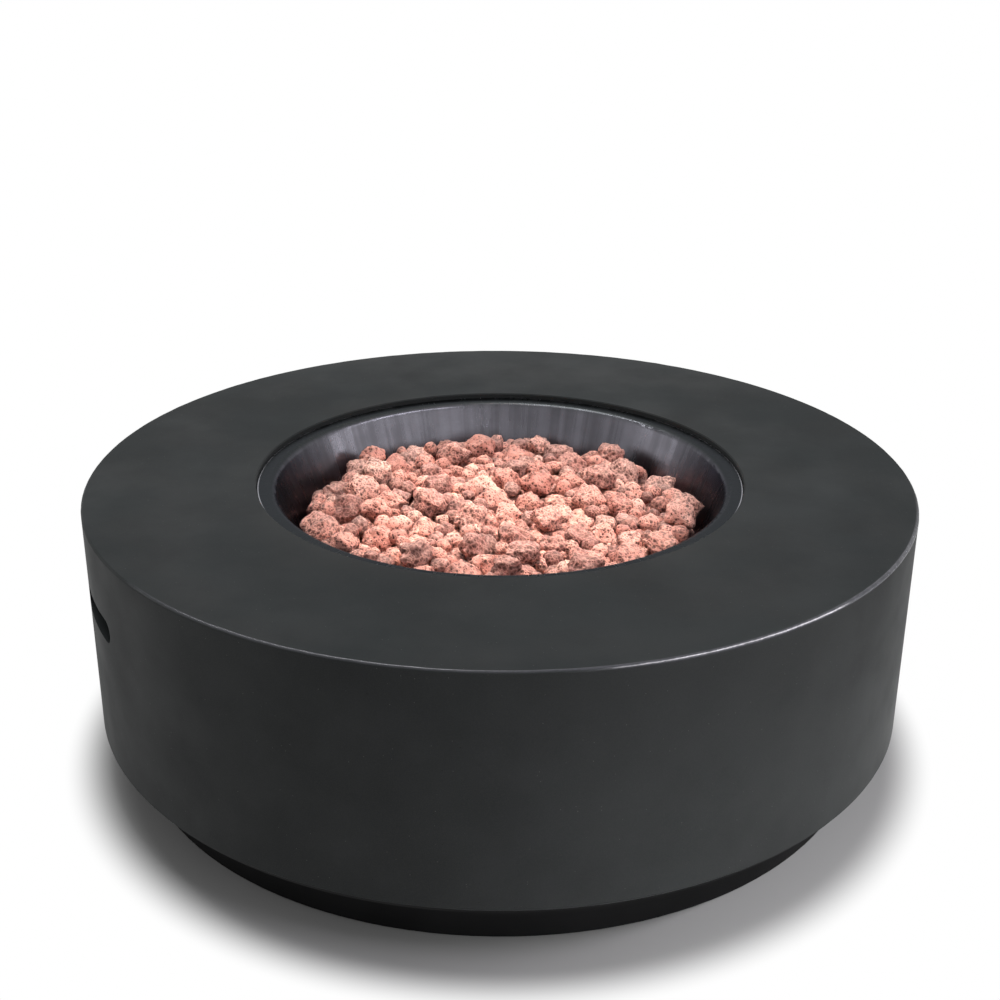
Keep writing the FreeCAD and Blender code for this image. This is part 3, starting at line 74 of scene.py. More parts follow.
slot_drop = 0.099
slot_level = drum_high.z - slot_drop
slot_half_height = 0.015
slot_half_straight = 0.050
slot_steps = 32
slot_tool_reach = 1.2 * drum_radius
lug_count = 6
lug_width = 0.044
lug_reach = 0.066
lug_low_reach = wall_inside - lug_reach
lug_heights = (0.045, 0.090)
lug_root = wall / 3
window_half = (0.068, 0.034)
window_overcut = 0.02
panel_level = (panel_low.z + panel_high.z) / 2
panel_margin = 0.005
panel_pad_root = 0.008


def arc(centre, radius, first, last, count):
    """Points of radius and height on an arc, its two angles in degrees."""
    turns = [math.radians(first + (last - first) * step / count) for step in range(count + 1)]
    return [(centre[0] + radius * math.cos(turn), centre[1] + radius * math.sin(turn)) for turn in turns]


def between(first, last, count):
    """Points that divide the stretch from first to last into equal lengths, without its ends."""
    return [tuple(a + (b - a) * step / count for a, b in zip(first, last)) for step in range(1, count)]


def turned(outline, steps):
    """A closed ring: an outline of radius and height points spun round the Z axis."""
    mesh = bmesh.new()
    points = [mesh.verts.new((radius, 0, height)) for radius, height in outline]
    edges = [mesh.edges.new(pair) for pair in zip(points, points[1:] + points[:1])]
    bmesh.ops.spin(mesh, geom=points + edges, cent=(0, 0, 0), axis=(0, 0, 1), angle=math.tau,
                   steps=steps, use_merge=True)
    bmesh.ops.remove_doubles(mesh, verts=mesh.verts, dist=1e-6)
    bmesh.ops.recalc_face_normals(mesh, faces=mesh.faces)
    return mesh


def block(mesh, low, high, matrix=Matrix()):
    """Add a box between two corners to a mesh."""
    middle = Matrix.Translation((Vector(low) + Vector(high)) / 2)
    size = Matrix.Diagonal((*(Vector(high) - Vector(low)), 1))
    return bmesh.ops.create_cube(mesh, size=1, matrix=matrix @ middle @ size)["verts"]


def made_object(mesh, label):
    """Put a finished mesh into the scene as an object."""
    data = bpy.data.meshes.new(label)
    mesh.to_mesh(data)
    mesh.free()
    made = bpy.data.objects.new(label, data)
    bpy.context.collection.objects.link(made)
    return made


def combined(piece, tool, operation):
    """Add one closed mesh to a piece, or cut it away, and delete the tool."""
    step = piece.modifiers.new(operation.lower(), "BOOLEAN")
    step.object = tool
    step.operation = operation
    step.solver = "EXACT"
    graph = bpy.context.evaluated_depsgraph_get()
    data = bpy.data.meshes.new_from_object(piece.evaluated_get(graph))
    piece.modifiers.clear()
    old = piece.data
    piece.data = data
    bpy.data.meshes.remove(old)
    bpy.data.meshes.remove(tool.data)


def smooth(piece, degrees=35):
    """Shade smooth, but keep edges sharper than this angle crisp."""
    mesh = bmesh.new()
    mesh.from_mesh(piece.data)
    for face in mesh.faces:
        face.smooth = True
    for edge in mesh.edges:
        edge.smooth = len(edge.link_faces) == 2 and edge.calc_face_angle(0) < math.radians(degrees)
    mesh.to_mesh(piece.data)
    mesh.free()


def fitted(piece, body, slot, finish, *replaced):
    """Give a finished piece its body, its finish and the CAD nodes that it stands for."""
    piece.data.materials.clear()
    piece.data.materials.append(finish)
    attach(piece, body)
    if replaced:
        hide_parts(*replaced)


def place(tree, kind, inputs=None, **settings):
    """Add a shader node, its inputs linked to other nodes' outputs or set to plain values."""
    node = tree.nodes.new("ShaderNode" + kind)
    for name, value in settings.items():
        setattr(node, name, value)
    for name, value in (inputs or {}).items():
        if isinstance(value, bpy.types.NodeSocket):
            tree.links.new(value, node.inputs[name])
        else:
            node.inputs[name].default_value = value
    return node


def calc(tree, operation, *values, clamp=False):
    """The result of a Math node."""
    return place(tree, "Math", dict(enumerate(values)), operation=operation, use_clamp=clamp).outputs[0]


def ease(tree, value, low, high, first=0.0, last=1.0):
    """Go smoothly from first, where a value is low, to last, where it is high."""
    inputs = {"Value": value, "From Min": low, "From Max": high, "To Min": first, "To Max": last}
    return place(tree, "MapRange", inputs, interpolation_type="SMOOTHSTEP").outputs["Result"]


def mix(tree, factor, first, last):
    """Mix two colours."""
    return place(tree, "Mix", {0: factor, 6: first, 7: last}, data_type="RGBA").outputs[2]


def clouds(tree, where, scale, detail=4.0, roughness=0.5):
    """Noise from 0 to 1, with this many lumps to the metre."""
    inputs = {"Vector": where, "Scale": scale, "Detail": detail, "Roughness": roughness}
    return place(tree, "TexNoise", inputs).outputs["Fac"]


def bumped(tree, height, strength, distance):
    """A normal from a height, its distance in metres."""
    inputs = {"Height": height, "Strength": strength, "Distance": distance}
    return place(tree, "Bump", inputs).outputs["Normal"]


def new_finish(label):
    """An empty material, its tree and the object's own coordinates."""
    made = bpy.data.materials.new(label)
    made.use_nodes = True
    made.node_tree.nodes.clear()
    return made, made.node_tree, place(made.node_tree, "TexCoord").outputs["Object"]


def coated(tree, inputs):
    """End a material in a Principled shader with these inputs."""
    shader = place(tree, "BsdfPrincipled", inputs)
    place(tree, "OutputMaterial", {"Surface": shader.outputs[0]})


def new_group(label, inputs, outputs):
    """A shader node group of float sockets: its tree, its input sockets and its output node."""
    group = bpy.data.node_groups.new(label, "ShaderNodeTree")
    for name, value in inputs.items():
        socket = group.interface.new_socket(name, in_out="INPUT", socket_type="NodeSocketFloat")
        socket.default_value = value
    for name in outputs:
        group.interface.new_socket(name, in_out="OUTPUT", socket_type="NodeSocketFloat")
    return group, group.nodes.new("NodeGroupInput").outputs, group.nodes.new("NodeGroupOutput")


# Dust that settles where a surface faces up, in soft patches
dust, given, result = new_group("settled_dust", {"Patches": 12.0, "Amount": 0.5}, ("Mask",))
up = place(dust, "SeparateXYZ", {0: place(dust, "NewGeometry").outputs["Normal"]}).outputs["Z"]
spot = place(dust, "TexCoord").outputs["Object"]
patches = clouds(dust, spot, given["Patches"], 5)
mask = calc(dust, "MULTIPLY", ease(dust, up, 0.35, 0.95), ease(dust, patches, 0.30, 0.72, 0.35, 1.0))
dust.links.new(calc(dust, "MULTIPLY", mask, given["Amount"]), result.inputs["Mask"])

# Concrete finish: uneven pigment, sand near the skin, a few pinholes darkened with painted shade, and
# pale flecks of fibre
deep_charcoal = (0.0175, 0.0188, 0.0190, 1)
light_charcoal = (0.0245, 0.0262, 0.0265, 1)
sand_grey = (0.045, 0.046, 0.046, 1)
upward_teal_grey = (0.0175, 0.0225, 0.0238, 1)
pinhole_shade_black = (0.006, 0.006, 0.006, 1)
rim_highlight_grey = (0.030, 0.031, 0.040, 1)
fleck_grey = (0.16, 0.155, 0.15, 1)
polish_tint = (0.93, 0.91, 1.0, 1)
pinhole_share = 0.10
fleck_share = 0.015

concrete, tree, where = new_finish("charcoal_concrete")
drift = clouds(tree, where, 2.6, 3, 0.5)
cure = clouds(tree, where, 13, 5, 0.55)
tone = calc(tree, "ADD", calc(tree, "MULTIPLY", drift, 0.6), calc(tree, "MULTIPLY", cure, 0.4))
sand = clouds(tree, where, 900, 2, 0.6)
pigment = mix(tree, ease(tree, tone, 0.34, 0.66), deep_charcoal, light_charcoal)
pigment = mix(tree, ease(tree, sand, 0.35, 0.8, 0.0, 0.30), pigment, sand_grey)
haze = place(tree, "Group", {"Patches": 9.0, "Amount": 0.5}, node_tree=dust).outputs["Mask"]
# Faces that point up are tinted teal-grey in soft patches.
pigment = mix(tree, haze, pigment, upward_teal_grey)
cells = place(tree, "TexVoronoi", {"Vector": where, "Scale": 105.0}).outputs
drawn = place(tree, "SeparateColor", {0: cells["Color"]}).outputs[0]
chosen = calc(tree, "GREATER_THAN", drawn, 1 - pinhole_share)
pinhole = calc(tree, "MULTIPLY", ease(tree, cells["Distance"], 0.03, 0.10, 1.0, 0.0), chosen)
# The pinholes are darkened with painted shade.
pigment = mix(tree, calc(tree, "MULTIPLY", pinhole, 0.8), pigment, pinhole_shade_black)
rim_polish_and_highlight = place(tree, "Attribute", attribute_name="rim_polish_and_highlight").outputs["Fac"]
patchy = ease(tree, clouds(tree, where, 240, 4, 0.6), 0.36, 0.60, 0.62, 1.0)
polish_and_highlight = calc(tree, "MULTIPLY", rim_polish_and_highlight, patchy)
# Where the rim is polished its colour also turns paler and bluer: a painted highlight.
pigment = mix(tree, calc(tree, "MULTIPLY", polish_and_highlight, 0.75), pigment, rim_highlight_grey)
grains = place(tree, "TexVoronoi", {"Vector": where, "Scale": 420.0}).outputs
drawn = place(tree, "SeparateColor", {0: grains["Color"]}).outputs[1]
flake = calc(tree, "GREATER_THAN", drawn, 1 - fleck_share)
fleck = calc(tree, "MULTIPLY", ease(tree, grains["Distance"], 0.10, 0.25, 1.0, 0.0), flake)
pigment = mix(tree, calc(tree, "MULTIPLY", fleck, 0.55), pigment, fleck_grey)
skin_grain = calc(tree, "MULTIPLY", clouds(tree, where, 260, 4), 0.06)
relief = calc(tree, "ADD", clouds(tree, where, 7, 3, 0.5), skin_grain)
relief = calc(tree, "SUBTRACT", relief, calc(tree, "MULTIPLY", pinhole, 0.6))
coated(tree, {
    "Base Color": pigment,
    "Roughness": ease(tree, tone, 0.3, 0.7, 0.62, 0.46),
    "Specular IOR Level": 0.06,
    "Coat Weight": polish_and_highlight,
    "Coat Roughness": 0.125,
    "Coat IOR": 1.60,
    "Coat Tint": polish_tint,
    "Normal": bumped(tree, relief, 0.5, 0.0012)})

# Outline of the wall and deck, from the opening over the rim and down to the foot, then back inside
bite = edge_round * math.tan(math.radians(45 / 2))
rim_steps = 4
deck_rows = 16
face_rows = 20
steps_round = 540
rim = (
    arc((drum_radius - edge_chamfer - bite, drum_high.z - edge_round), edge_round, 90, 45, rim_steps)
    + arc((drum_radius - edge_round, drum_high.z - edge_chamfer - bite), edge_round, 45, 0, rim_steps))
deck_start = (opening_radius + opening_bevel, drum_high.z)
deck_end = (rim[0][0] - edge_fade, drum_high.z)
face_start = (drum_radius, rim[-1][1] - edge_fade)
face_end = (foot_radius, drum_low.z + foot_bevel)
drum_outline = (
    [deck_start] + between(deck_start, deck_end, deck_rows) + [deck_end] + rim + [face_start]
    + between(face_start, face_end, face_rows) + [
        face_end, (foot_radius - foot_bevel, drum_low.z), (wall_inside, drum_low.z),
        (wall_inside, deck_underside - deck_bevel), (wall_inside - deck_bevel, deck_underside),
        (ledge_radius, deck_underside), (ledge_radius, ledge_level), (opening_radius, ledge_level),
        (opening_radius, drum_high.z - opening_bevel)])
shell = turned(drum_outline, steps_round)


def uneven(spot):
    """Soft unevenness at a spot, from 0 to 1."""
    return 0.5 + 0.5 * noise.noise(spot)


# Hand work on the outer skin: a wavy rim and a wall that isn't quite round
outer_skin = wall_inside + 0.004
rim_reach = 0.0055
rim_wave = 0.0005
rim_wave_grain = 38
rim_dip_grain = 27
wall_wave = 0.0006
wall_wave_grain = 9
wall_height_grain = 6
for point in shell.verts:
    across = Vector((point.co.x, point.co.y, 0))
    far = across.length
    if far < outer_skin:
        continue
    way = across / far
    if far > drum_radius - rim_reach and point.co.z > drum_high.z - rim_reach:
        dip = Vector((0, 0, rim_wave * uneven(way * rim_dip_grain)))
        point.co -= way * rim_wave * uneven(way * rim_wave_grain) + dip
    else:
        spot = way * wall_wave_grain + Vector((0, 0, point.co.z * wall_height_grain))
        point.co -= way * wall_wave * uneven(spot)
drum = made_object(shell, "drum")

cores = bmesh.new()
for number in range(lug_count):
    turn = Matrix.Rotation(math.radians(360 / lug_count * number), 4, "Z")
    lug = block(cores, (lug_low_reach, -lug_width / 2, drum_low.z),
                (wall_inside + lug_root, lug_width / 2, drum_low.z + lug_heights[1]))
    for point in lug:
        if point.co.z > drum_low.z + lug_heights[0] and point.co.x < wall_inside:
            point.co.z = drum_low.z + lug_heights[0]
    bmesh.ops.transform(cores, matrix=turn, verts=lug)
pad_half = (panel_high.x - panel_low.x) / 2 + panel_margin
pad_half_height = (panel_high.z - panel_low.z) / 2 + panel_margin
block(cores, (-pad_half, panel_high.y, panel_level - pad_half_height),
      (pad_half, wall_inside + panel_pad_root, panel_level + pad_half_height))
combined(drum, made_object(cores, "cores"), "UNION")

holes = bmesh.new()
block(holes, (-window_half[0], panel_high.y - window_overcut / 2, panel_level - window_half[1]),
      (window_half[0], drum_radius + window_overcut, panel_level + window_half[1]))
slot_end = bmesh.ops.create_circle(holes, cap_ends=True, segments=slot_steps, radius=slot_half_height,
                                   matrix=Matrix.Rotation(math.pi / slot_steps, 4, "Z"))["verts"]
for point in slot_end:
    point.co.x += math.copysign(slot_half_straight, point.co.x)
slot_face = list({face for point in slot_end for face in point.link_faces})
stretched = bmesh.ops.extrude_face_region(holes, geom=slot_face)
far_end = [item for item in stretched["geom"] if isinstance(item, bmesh.types.BMVert)]
bmesh.ops.translate(holes, verts=far_end, vec=(0, 0, 2 * slot_tool_reach))
slot_axis = (
    Matrix.Rotation(slot_turn, 4, "Z")
    @ Matrix.Translation((0, slot_tool_reach, slot_level))
    @ Matrix.Rotation(math.radians(90), 4, "X"))
bmesh.ops.transform(holes, matrix=slot_axis, verts=slot_end + far_end)
bmesh.ops.recalc_face_normals(holes, faces=holes.faces)
combined(drum, made_object(holes, "holes"), "DIFFERENCE")

# Polish and painted highlight on the rim: angles from the front, to the right, over which they come and
# go
edge_width = 0.00395
edge_depth = 0.0052
corner_drop = 0.0014
corner_comes = (-52, -34)
chamfer_comes = (6, 20)
polish_and_highlight_goes = (64, 84)
polish_and_highlight_marks = drum.data.attributes.new("rim_polish_and_highlight", "FLOAT", "POINT")
for point, mark in zip(drum.data.vertices, polish_and_highlight_marks.data):
    inset = drum_radius - math.hypot(point.co.x, point.co.y)
    drop = drum_high.z - point.co.z
    if max(inset, drop) >= edge_width or not 0 < inset + drop < edge_depth:
        continue
    turn = math.degrees(math.atan2(point.co.x, -point.co.y))
    start, end = corner_comes if drop < corner_drop else chamfer_comes
    coming = (turn - start) / (end - start)
    going = (polish_and_highlight_goes[1] - turn) / (polish_and_highlight_goes[1] - polish_and_highlight_goes[0])
    mark.value = max(0.0, min(1.0, coming, going))
smooth(drum)
fitted(drum, "table", "concrete", concrete, "concrete_body")


# Threaded inserts. Six hexagonal brass bars, drilled and tapped, cast into the drum's lugs. They
# take the bolts of the plinth. Like every turned piece, they keep the fine rings of the lathe.
lathe, given, result = new_group("lathe_marks", {"Grooves": 900.0, "Uneven": 0.4}, ("Value", "Height"))
spot = place(lathe, "TexCoord").outputs["Object"]
flat = place(lathe, "VectorMath", {0: spot, 1: (1, 1, 0)}, operation="MULTIPLY").outputs[0]
far_out = place(lathe, "VectorMath", {0: flat}, operation="LENGTH").outputs["Value"]
height = place(lathe, "SeparateXYZ", {0: spot}).outputs["Z"]
profile = place(lathe, "CombineXYZ", {"X": far_out, "Y": height}).outputs[0]
rings = clouds(lathe, profile, given["Grooves"], 3)
smear = clouds(lathe, spot, 22)
value = place(lathe, "Mix", {0: given["Uneven"], 2: rings, 3: smear}).outputs[0]
lathe.links.new(value, result.inputs["Value"])
lathe.links.new(rings, result.inputs["Height"])

tool_mark_depth = 0.00012


def metal(label, dark, light, roughness, grooves=900.0, uneven=0.5):
    """A bare metal with tool marks, between a dark and a light colour."""
    made, tree, _ = new_finish(label)
    marks = place(tree, "Group", {"Grooves": grooves, "Uneven": uneven}, node_tree=lathe).outputs
    coated(tree, {
        "Base Color": mix(tree, ease(tree, marks["Value"], 0.3, 0.7), dark, light),
        "Metallic": 1.0,
        "Roughness": ease(tree, marks["Value"], 0.25, 0.75, roughness * 1.2, roughness * 0.85),
        "Normal": bumped(tree, marks["Height"], 0.4, tool_mark_depth)})
    return made


def dress(finish, *names):
    """Give CAD nodes a finish."""
    for name in names:
        nodes[name].material_slots[0].material = finish


brass = metal("turned_brass", (0.40, 0.27, 0.10, 1), (0.66, 0.48, 0.22, 1), roughness=0.30)
dress(brass, "body_inserts")


# Plinth. Rolled and welded mild steel, powder coated black, with a flat plate on top that is
# bolted up into the drum's lugs and a flange at the foot that is turned inwards.
deep_black = (0.0018, 0.0018, 0.0020, 1)
soft_black = (0.0034, 0.0034, 0.0037, 1)
dusty_black = (0.012, 0.012, 0.012, 1)
grit, given, result = new_group("fine_grain", {"Scale": 900.0, "Softness": 0.5}, ("Value", "Height"))
spot = place(grit, "TexCoord").outputs["Object"]
grains = clouds(grit, spot, given["Scale"], 3, given["Softness"])
wide = clouds(grit, spot, 18)
grit.links.new(wide, result.inputs["Value"])
grit.links.new(grains, result.inputs["Height"])

powder, tree, _ = new_finish("black_powder_coat")
marks = place(tree, "Group", {"Scale": 1300.0, "Softness": 0.45}, node_tree=grit).outputs
haze = place(tree, "Group", {"Patches": 20.0, "Amount": 0.35}, node_tree=dust).outputs["Mask"]
coat_colour = mix(tree, ease(tree, marks["Value"], 0.3, 0.7), deep_black, soft_black)
coated(tree, {
    "Base Color": mix(tree, haze, coat_colour, dusty_black),
    "Roughness": ease(tree, marks["Height"], 0.3, 0.7, 0.40, 0.54),
    "Specular IOR Level": 0.14,
    "Normal": bumped(tree, marks["Height"], 0.35, 0.00025)})
dress(powder, "base_plinth", "inlet_bracket")


# Plinth bolts. Zinc-plated hexagon-head bolts, screwed up through the plate into the inserts. The
# bracket's bolts, the heat shield's nuts and the panel's screws have the same plating.
zinc = metal("zinc_plate", (0.34, 0.34, 0.33, 1), (0.52, 0.52, 0.50, 1),
             roughness=0.32, grooves=1400.0, uneven=0.7)
dress(zinc, "plinth_bolts", "bracket_bolts", "shield_nuts", "panel_screws")


# Foot pads. Six moulded rubber buttons whose stems are pressed into holes in the plinth's flange.
# They lift the steel off the ground, and their lower edges are rounded so that they don't catch.
pad_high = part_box("foot_pads")[1]
pad_count = 6
pad_radius = 0.011
pad_circle = pad_high.x - pad_radius
pad_thickness = 0.003
pad_round = 0.0006
pad_steps = 40
stem_radius = 0.004
stem_tip_radius = stem_radius * 0.8
stem_length = pad_high.z - pad_thickness
stem_steps = 24


def moulded(label, dark, light, roughness, scale, depth, gloss=0.5):
    """A moulded, sprayed or fired surface with a fine grain, between two colours."""
    made, tree, _ = new_finish(label)
    marks = place(tree, "Group", {"Scale": scale, "Softness": 0.55}, node_tree=grit).outputs
    coated(tree, {
        "Base Color": mix(tree, ease(tree, marks["Value"], 0.3, 0.7), dark, light),
        "Roughness": ease(tree, marks["Height"], 0.3, 0.7, roughness * 0.9, roughness * 1.12),
        "Specular IOR Level": gloss,
        "Normal": bumped(tree, marks["Height"], 0.5, depth)})
    return made


rubber = moulded("black_rubber", (0.012, 0.012, 0.012, 1), (0.024, 0.024, 0.023, 1),
                 roughness=0.72, scale=1600.0, depth=0.0003, gloss=0.3)
buttons = bmesh.new()
for number in range(pad_count):
    turn = Matrix.Rotation(math.radians(360 / pad_count * number), 4, "Z")
    middle = turn @ Matrix.Translation((pad_circle, 0, 0))
    disc = bmesh.ops.create_cone(
        buttons, cap_ends=True, segments=pad_steps, radius1=pad_radius, radius2=pad_radius,
        depth=pad_thickness, matrix=middle @ Matrix.Translation((0, 0, pad_thickness / 2)))
    lips = [edge for edge in {edge for point in disc["verts"] for edge in point.link_edges}
            if len({round(point.co.z, 5) for point in edge.verts}) == 1]
    bmesh.ops.bevel(buttons, geom=lips, offset=pad_round, segments=2, profile=0.5, affect="EDGES",
                    material=-1)
    bmesh.ops.create_cone(
        buttons, cap_ends=True, segments=stem_steps, radius1=stem_radius, radius2=stem_tip_radius,
        depth=stem_length, matrix=middle @ Matrix.Translation((0, 0, pad_thickness + stem_length / 2)))
pads = made_object(buttons, "rubber_pads")
smooth(pads)
fitted(pads, "table", "rubber", rubber, "foot_pads")


# Fire bowl. Stainless sheet spun over a former, with a flange that rests on the drum's ledge.
# Heat has darkened it to graphite, with faint streaks that run from the mouth to the floor.
mouth_radius = 0.294
bend_start = mouth_radius - 0.004
bend_end = mouth_radius + 0.003
lip_start = bowl_high.x - 0.0016
lip_end = bowl_high.x - 0.0008
graphite_deep = (0.072, 0.070, 0.080, 1)
graphite_light = (0.132, 0.128, 0.148, 1)
flange_grey = (0.040, 0.044, 0.045, 1)
lip_highlight_grey = (0.42, 0.42, 0.45, 1)
graphite_sheen = (0.5, 0.5, 0.52, 1)
graphite, tree, where = new_finish("heated_stainless")
marks = place(tree, "Group", {"Grooves": 1500.0, "Uneven": 0.35}, node_tree=lathe).outputs
flat = place(tree, "VectorMath", {0: where, 1: (1, 1, 0)}, operation="MULTIPLY").outputs[0]
around = place(tree, "VectorMath", {0: flat}, operation="NORMALIZE").outputs[0]
streak = clouds(tree, around, 18, 5, 0.55)
soot = clouds(tree, where, 14, 5, 0.6)
heat = calc(tree, "ADD", calc(tree, "MULTIPLY", streak, 0.6), calc(tree, "MULTIPLY", soot, 0.4))
sheet_colour = mix(tree, ease(tree, heat, 0.34, 0.66), graphite_deep, graphite_light)
out_from_axis = place(tree, "VectorMath", {0: flat}, operation="LENGTH").outputs["Value"]
on_flange = ease(tree, out_from_axis, bend_start, bend_end)
sheet_colour = mix(tree, on_flange, sheet_colour, flange_grey)
# A bright ring along the flange's outer edge: a painted highlight.
lip_highlight_mask = ease(tree, out_from_axis, lip_start, lip_end)
sheet_colour = mix(tree, lip_highlight_mask, sheet_colour, lip_highlight_grey)
former_marks = calc(tree, "ADD", calc(tree, "MULTIPLY", streak, 0.8), marks["Height"])
coated(tree, {
    "Base Color": sheet_colour,
    "Metallic": 1.0,
    "Specular Tint": graphite_sheen,
    "Roughness": ease(tree, heat, 0.3, 0.7, 0.32, 0.22),
    "Normal": bumped(tree, former_marks, 0.25, 0.00025)})
dress(graphite, "fire_bowl")


# Heat shield. A dished disc of stainless sheet that hangs below the bowl on four studs with
# tubular spacers and nuts, and keeps the heat off the concrete and the gas parts.
stainless = metal("brushed_stainless", (0.38, 0.38, 0.39, 1), (0.58, 0.58, 0.59, 1),
                  roughness=0.30, grooves=1300.0, uneven=0.35)
dress(stainless, "heat_shield", "shield_spacers")


# Burner. A ring and cross of stainless tube with gas ports drilled along its top, on four sheet
# legs. Its brass stub goes down through the bowl's floor between two locknuts.
straw_dark = (0.16, 0.10, 0.07, 1)
straw_light = (0.34, 0.27, 0.20, 1)
heat_blue = (0.10, 0.11, 0.17, 1)
burnt, tree, where = new_finish("burnt_stainless")
marks = place(tree, "Group", {"Grooves": 700.0, "Uneven": 0.8}, node_tree=lathe).outputs
scorch = clouds(tree, where, 30, 5, 0.6)
straw = mix(tree, ease(tree, scorch, 0.32, 0.60), straw_dark, straw_light)
straw = mix(tree, ease(tree, scorch, 0.55, 0.75), straw, heat_blue)
coated(tree, {
    "Base Color": straw,
    "Metallic": 1.0,
    "Roughness": ease(tree, marks["Value"], 0.3, 0.7, 0.45, 0.32),
    "Normal": bumped(tree, marks["Height"], 0.4, 0.00015)})
dress(burnt, "burner_ring", "burner_legs", "pilot_bracket", "electrode_rod")
dress(brass, "burner_stub", "burner_locknuts")


# Air mixer. A turned brass tube that screws onto the stub, with two air windows, a brass jet in
# its lower end, and a stainless sleeve with a small screw that is turned to set the air.
dress(brass, "air_mixer", "gas_orifice")
dress(stainless, "air_shutter")
dress(zinc, "shutter_screw")


# Pilot parts. A spark electrode in a white ceramic insulator and a copper-sheathed flame sensor
# stand in one folded bracket on the bowl's floor, beside the ring.
glaze = moulded("fired_ceramic", (0.62, 0.59, 0.52, 1), (0.82, 0.80, 0.75, 1),
                roughness=0.22, scale=500.0, depth=0.0001)
copper = metal("copper_sheath", (0.36, 0.16, 0.09, 1), (0.62, 0.33, 0.20, 1),
               roughness=0.34, grooves=900.0, uneven=0.7)
dress(glaze, "electrode_insulator")
dress(copper, "flame_sensor")


# Control panel. A flat stainless plate, brushed from end to end, screwed to the pad behind the
# drum's back window, with tick marks etched round the knob and a spark mark by the button.
knob_low, knob_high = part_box("control_knob")
button_low, button_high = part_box("igniter_button")
knob_middle = Vector(((knob_low.x + knob_high.x) / 2, panel_high.y, panel_level))
button_middle = Vector(((button_low.x + button_high.x) / 2, panel_high.y, panel_level))
knob_sweep = 215
tick_count = 9
tick_radius = knob_high.x - knob_middle.x + 0.0035
tick_lengths = (0.005, 0.0028)
tick_half_width = 0.0004
etch_low = -0.00005
etch_high = 0.00015
spark_rise = 0.0205
spark_strokes = 4
spark_half_length = 0.0035
spark_half_width = 0.0003
steel_dark = (0.30, 0.30, 0.30, 1)
steel_light = (0.48, 0.48, 0.48, 1)
brushed, tree, where = new_finish("brushed_panel")
long_way = place(tree, "Mapping", {"Vector": where, "Scale": (6.0, 900.0, 900.0)}).outputs[0]
hairs = clouds(tree, long_way, 1)
coated(tree, {
    "Base Color": mix(tree, ease(tree, hairs, 0.3, 0.7), steel_dark, steel_light),
    "Metallic": 1.0,
    "Roughness": ease(tree, hairs, 0.3, 0.7, 0.42, 0.28),
    "Normal": bumped(tree, hairs, 0.35, 0.0001)})
dress(brushed, "control_panel")

etched = moulded("etched_black", (0.010, 0.010, 0.010, 1), (0.020, 0.020, 0.020, 1),
                 roughness=0.6, scale=1500.0, depth=0.0001)
ticks = bmesh.new()
for number in range(tick_count):
    turn = math.radians(90 - knob_sweep * number / (tick_count - 1))
    at_end = number in (0, tick_count - 1)
    length = tick_lengths[0] if at_end else tick_lengths[1]
    way = Matrix.Translation(knob_middle) @ Matrix.Rotation(-turn, 4, "Y")
    block(ticks, (tick_radius, etch_low, -tick_half_width),
          (tick_radius + length, etch_high, tick_half_width), way)
for number in range(spark_strokes):
    spark_turn = Matrix.Rotation(math.radians(180 / spark_strokes * number), 4, "Y")
    way = Matrix.Translation(button_middle + Vector((0, 0, spark_rise))) @ spark_turn
    block(ticks, (-spark_half_length, etch_low, -spark_half_width),
          (spark_half_length, etch_high, spark_half_width), way)
etching = made_object(ticks, "panel_marks")
fitted(etching, "table", "black_plastic", etched)


# Gas valve. A cast and machined brass body behind the panel, held by a nut on its neck, with a
# taper plug inside that the steel spindle turns.
dress(brass, "gas_valve", "valve_plug")
dress(zinc, "valve_nut", "valve_stem")


# Control knob. Black powder-coated die casting with finger flutes and a white pointer line let
# into its face, pushed onto the flatted spindle.
knob_radius = (knob_high.x - knob_low.x) / 2
knob_top = knob_high.y - panel_high.y
line_half_width = 0.0008
line_sunk = 0.0006
line_proud = 0.0001
line_start = knob_radius * 0.28
line_end = knob_radius * 0.66
knob_black = moulded("knob_black", (0.010, 0.010, 0.010, 1), (0.018, 0.018, 0.018, 1),
                     roughness=0.42, scale=1500.0, depth=0.0002)
dress(knob_black, "control_knob")

white_paint = moulded("white_paint", (0.72, 0.72, 0.70, 1), (0.80, 0.80, 0.78, 1),
                      roughness=0.5, scale=1200.0, depth=0.0001)
inlay = bmesh.new()
block(inlay, (-line_half_width, -line_sunk, line_start), (line_half_width, line_proud, line_end),
      Matrix.Translation(knob_middle + Vector((0, knob_top, 0))))
pointer = made_object(inlay, "knob_pointer")
fitted(pointer, "knob", "white_ceramic", white_paint)


# Igniter. A push-button spark generator in a threaded black plastic body, with a nut behind the
# panel and a sprung button that stands out of its collar.
plastic = moulded("black_plastic", (0.014, 0.014, 0.014, 1), (0.024, 0.024, 0.024, 1),
                  roughness=0.48, scale=1100.0, depth=0.0002)
dress(plastic, "igniter_body", "igniter_nut", "igniter_button")


# Gas inlet. A brass bulkhead fitting, nutted into a folded bracket under the plinth's plate, that
# takes the supply hose at the notch.
dress(brass, "inlet_fitting", "inlet_nut")


# Burner hose. A corrugated gas hose under a woven steel braid, with a brass nut at each end. It
# carries the gas from the valve to the jet in the mixer's lower end.
strand_turns = 1900.0
braid_shadow = (0.10, 0.10, 0.10, 1)
braid_steel = (0.56, 0.56, 0.56, 1)
hose_seam = 2e-5


def relaid(node, label, body, slot, finish):
    """A flexible piece laid over its plain node: the same run, with its seams closed."""
    mesh = bmesh.new()
    mesh.from_mesh(nodes[node].data)
    bmesh.ops.remove_doubles(mesh, verts=mesh.verts, dist=hose_seam)
    piece = made_object(mesh, label)
    smooth(piece, degrees=50)
    fitted(piece, body, slot, finish, node)


